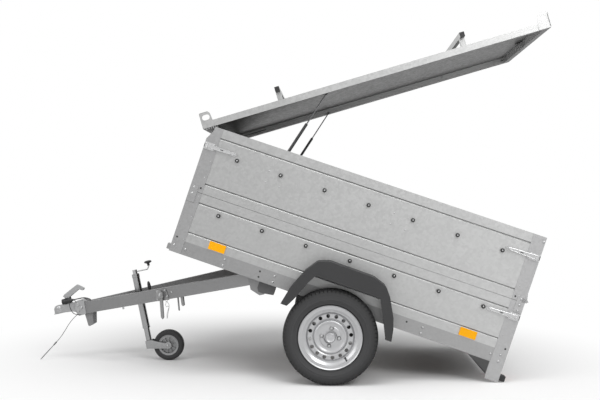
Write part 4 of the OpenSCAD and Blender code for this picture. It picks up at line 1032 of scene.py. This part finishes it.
for side in SIDES:
    for x in DRAIN_SLOTS:
        # Drain slots are not cut: thin black plates under the rail, as painted shade.
        lid_slot_shades.prism(rounded(50, 7, 3), 0.4, side @ below(x, RAIL_MIDDLE, RAIL_FOOT))
    for x in INNER_BRACKETS:
        at = inside_rail(side, x, INNER_BRACKET_Z)
        lid_brackets.prism(rounded(16, 20, 2), 3, at @ shift(0, 0, -0.5), 0.8)
        lid_brackets.lathe(dome(4, 3), at @ shift(0, -3, 2.3), 12)
    for x, length in SEAL_STRIPS:
        at = inside_rail(side, x, SEAL_Z)
        lid_seals.prism(rounded(length, 5, 1.5), 1.6, at @ shift(0, 0, -0.4), 0.5)
    for x in RAIL_RIVETS:
        lid_brackets.lathe(dome(3.4, 1.8), inside_rail(side, x, RIVET_Z), 12)
    for x in HINGE_BOLTS:
        lid_brackets.lathe(HINGE_BOLT, side @ below(x, BRACKET_Y, RAIL_FOOT), 12)
lid_slot_shades.make("lid_slot_shades", "lid", "black_plastic")
lid_brackets.make("lid_inner_brackets", "lid", "bright_steel")
lid_seals.make("lid_seals", "lid", "black_plastic")


# Finishes of the added pieces: their slot's, or one of their own

for piece in added:
    piece.data.materials.append(SLOTS[piece["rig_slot"]])

OWN_FINISH = (
    # The posts' finish paints a near-black shadow onto the rear foot braces.
    (zinc("zinc_posts", (0.36, 0.36, 0.362), 110, 0.44, True),
     ["posts_lower", "posts_upper", "corner_plates"]),
    (road_rubber("road_rubber", (0.028, 0.028, 0.029)), ["road_tyre_left", "road_tyre_right"]),
    (brushed("latch_steel", (0.56, 0.562, 0.565), 0.24), ["latches", "latch_fittings"]),
    (zinc("zinc_drawbar", (0.265, 0.265, 0.267), 110, 0.5), ["drawbar_arms", "front_bracket"]),
    # Painted shade: the parts under the box get a much darker copy of the zinc.
    (zinc("zinc_underside_shade", (0.12, 0.12, 0.122), 110, 0.55),
     ["pivot_brackets", "tip_catch", "lamp_beam", "axle_beam", "swing_arms"]),
    (brushed("steel_rope", (0.15, 0.15, 0.152), 0.4), ["safety_cable_rope", "cable_eye"]),
    (brushed("steel_coupling", (0.36, 0.362, 0.365), 0.4), ["coupling_head", "coupling_handle"]),
    (brushed("steel_jockey", (0.34, 0.342, 0.345), 0.22),
     ["jockey_outer_tube", "jockey_fork", "jockey_inner_tube", "jockey_collars"]),
    (lacquer("jockey_rim_silver", (0.26, 0.262, 0.265), 0.34, 0.75), ["jockey_rim", "jockey_wheel_ribs"]),
)
for finish, names in OWN_FINISH:
    for name in names:
        bpy.data.objects[name].data.materials[0] = finish


# Floor

def floor_material(white_from, white_to):
    """Pale floor that turns to plain white away from the trailer."""
    material = bpy.data.materials.new("floor")
    material.use_nodes = True
    tree = material.node_tree
    tree.nodes.clear()
    out = tree.nodes.new("ShaderNodeOutputMaterial")
    near = tree.nodes.new("ShaderNodeBsdfDiffuse")
    near.inputs["Color"].default_value = (0.93, 0.93, 0.93, 1)
    prism_glint = tree.nodes.new("ShaderNodeEmission")
    prism_glint.inputs["Color"].default_value = (1, 1, 1, 1)
    far = tree.nodes.new("ShaderNodeMixShader")
    tree.links.new(seen_rays(tree), far.inputs["Fac"])
    tree.links.new(near.outputs[0], far.inputs[1])
    tree.links.new(prism_glint.outputs[0], far.inputs[2])
    coords = tree.nodes.new("ShaderNodeTexCoord")
    length = tree.nodes.new("ShaderNodeVectorMath")
    length.operation = "LENGTH"
    tree.links.new(coords.outputs["Object"], length.inputs[0])
    fade = tree.nodes.new("ShaderNodeMapRange")
    fade.interpolation_type = "SMOOTHSTEP"
    fade.inputs["From Min"].default_value = white_from
    fade.inputs["From Max"].default_value = white_to
    tree.links.new(length.outputs["Value"], fade.inputs["Value"])
    mix = tree.nodes.new("ShaderNodeMixShader")
    tree.links.new(fade.outputs["Result"], mix.inputs["Fac"])
    tree.links.new(near.outputs[0], mix.inputs[1])
    tree.links.new(far.outputs[0], mix.inputs[2])
    tree.links.new(mix.outputs[0], out.inputs["Surface"])
    return material


FLOOR_HALF = 12.0
FLOOR_Z = -0.001
WHITE_FROM = 0.9
WHITE_TO = 2.6
CORNERS = ((-1, -1), (1, -1), (1, 1), (-1, 1))
floor_corners = [(x * FLOOR_HALF, y * FLOOR_HALF, FLOOR_Z) for x, y in CORNERS]
floor_mesh = bpy.data.meshes.new("floor")
floor_mesh.from_pydata(floor_corners, [], [(0, 1, 2, 3)])
floor_obj = bpy.data.objects.new("floor", floor_mesh)
scene.collection.objects.link(floor_obj)
floor_mesh.materials.append(floor_material(WHITE_FROM, WHITE_TO))
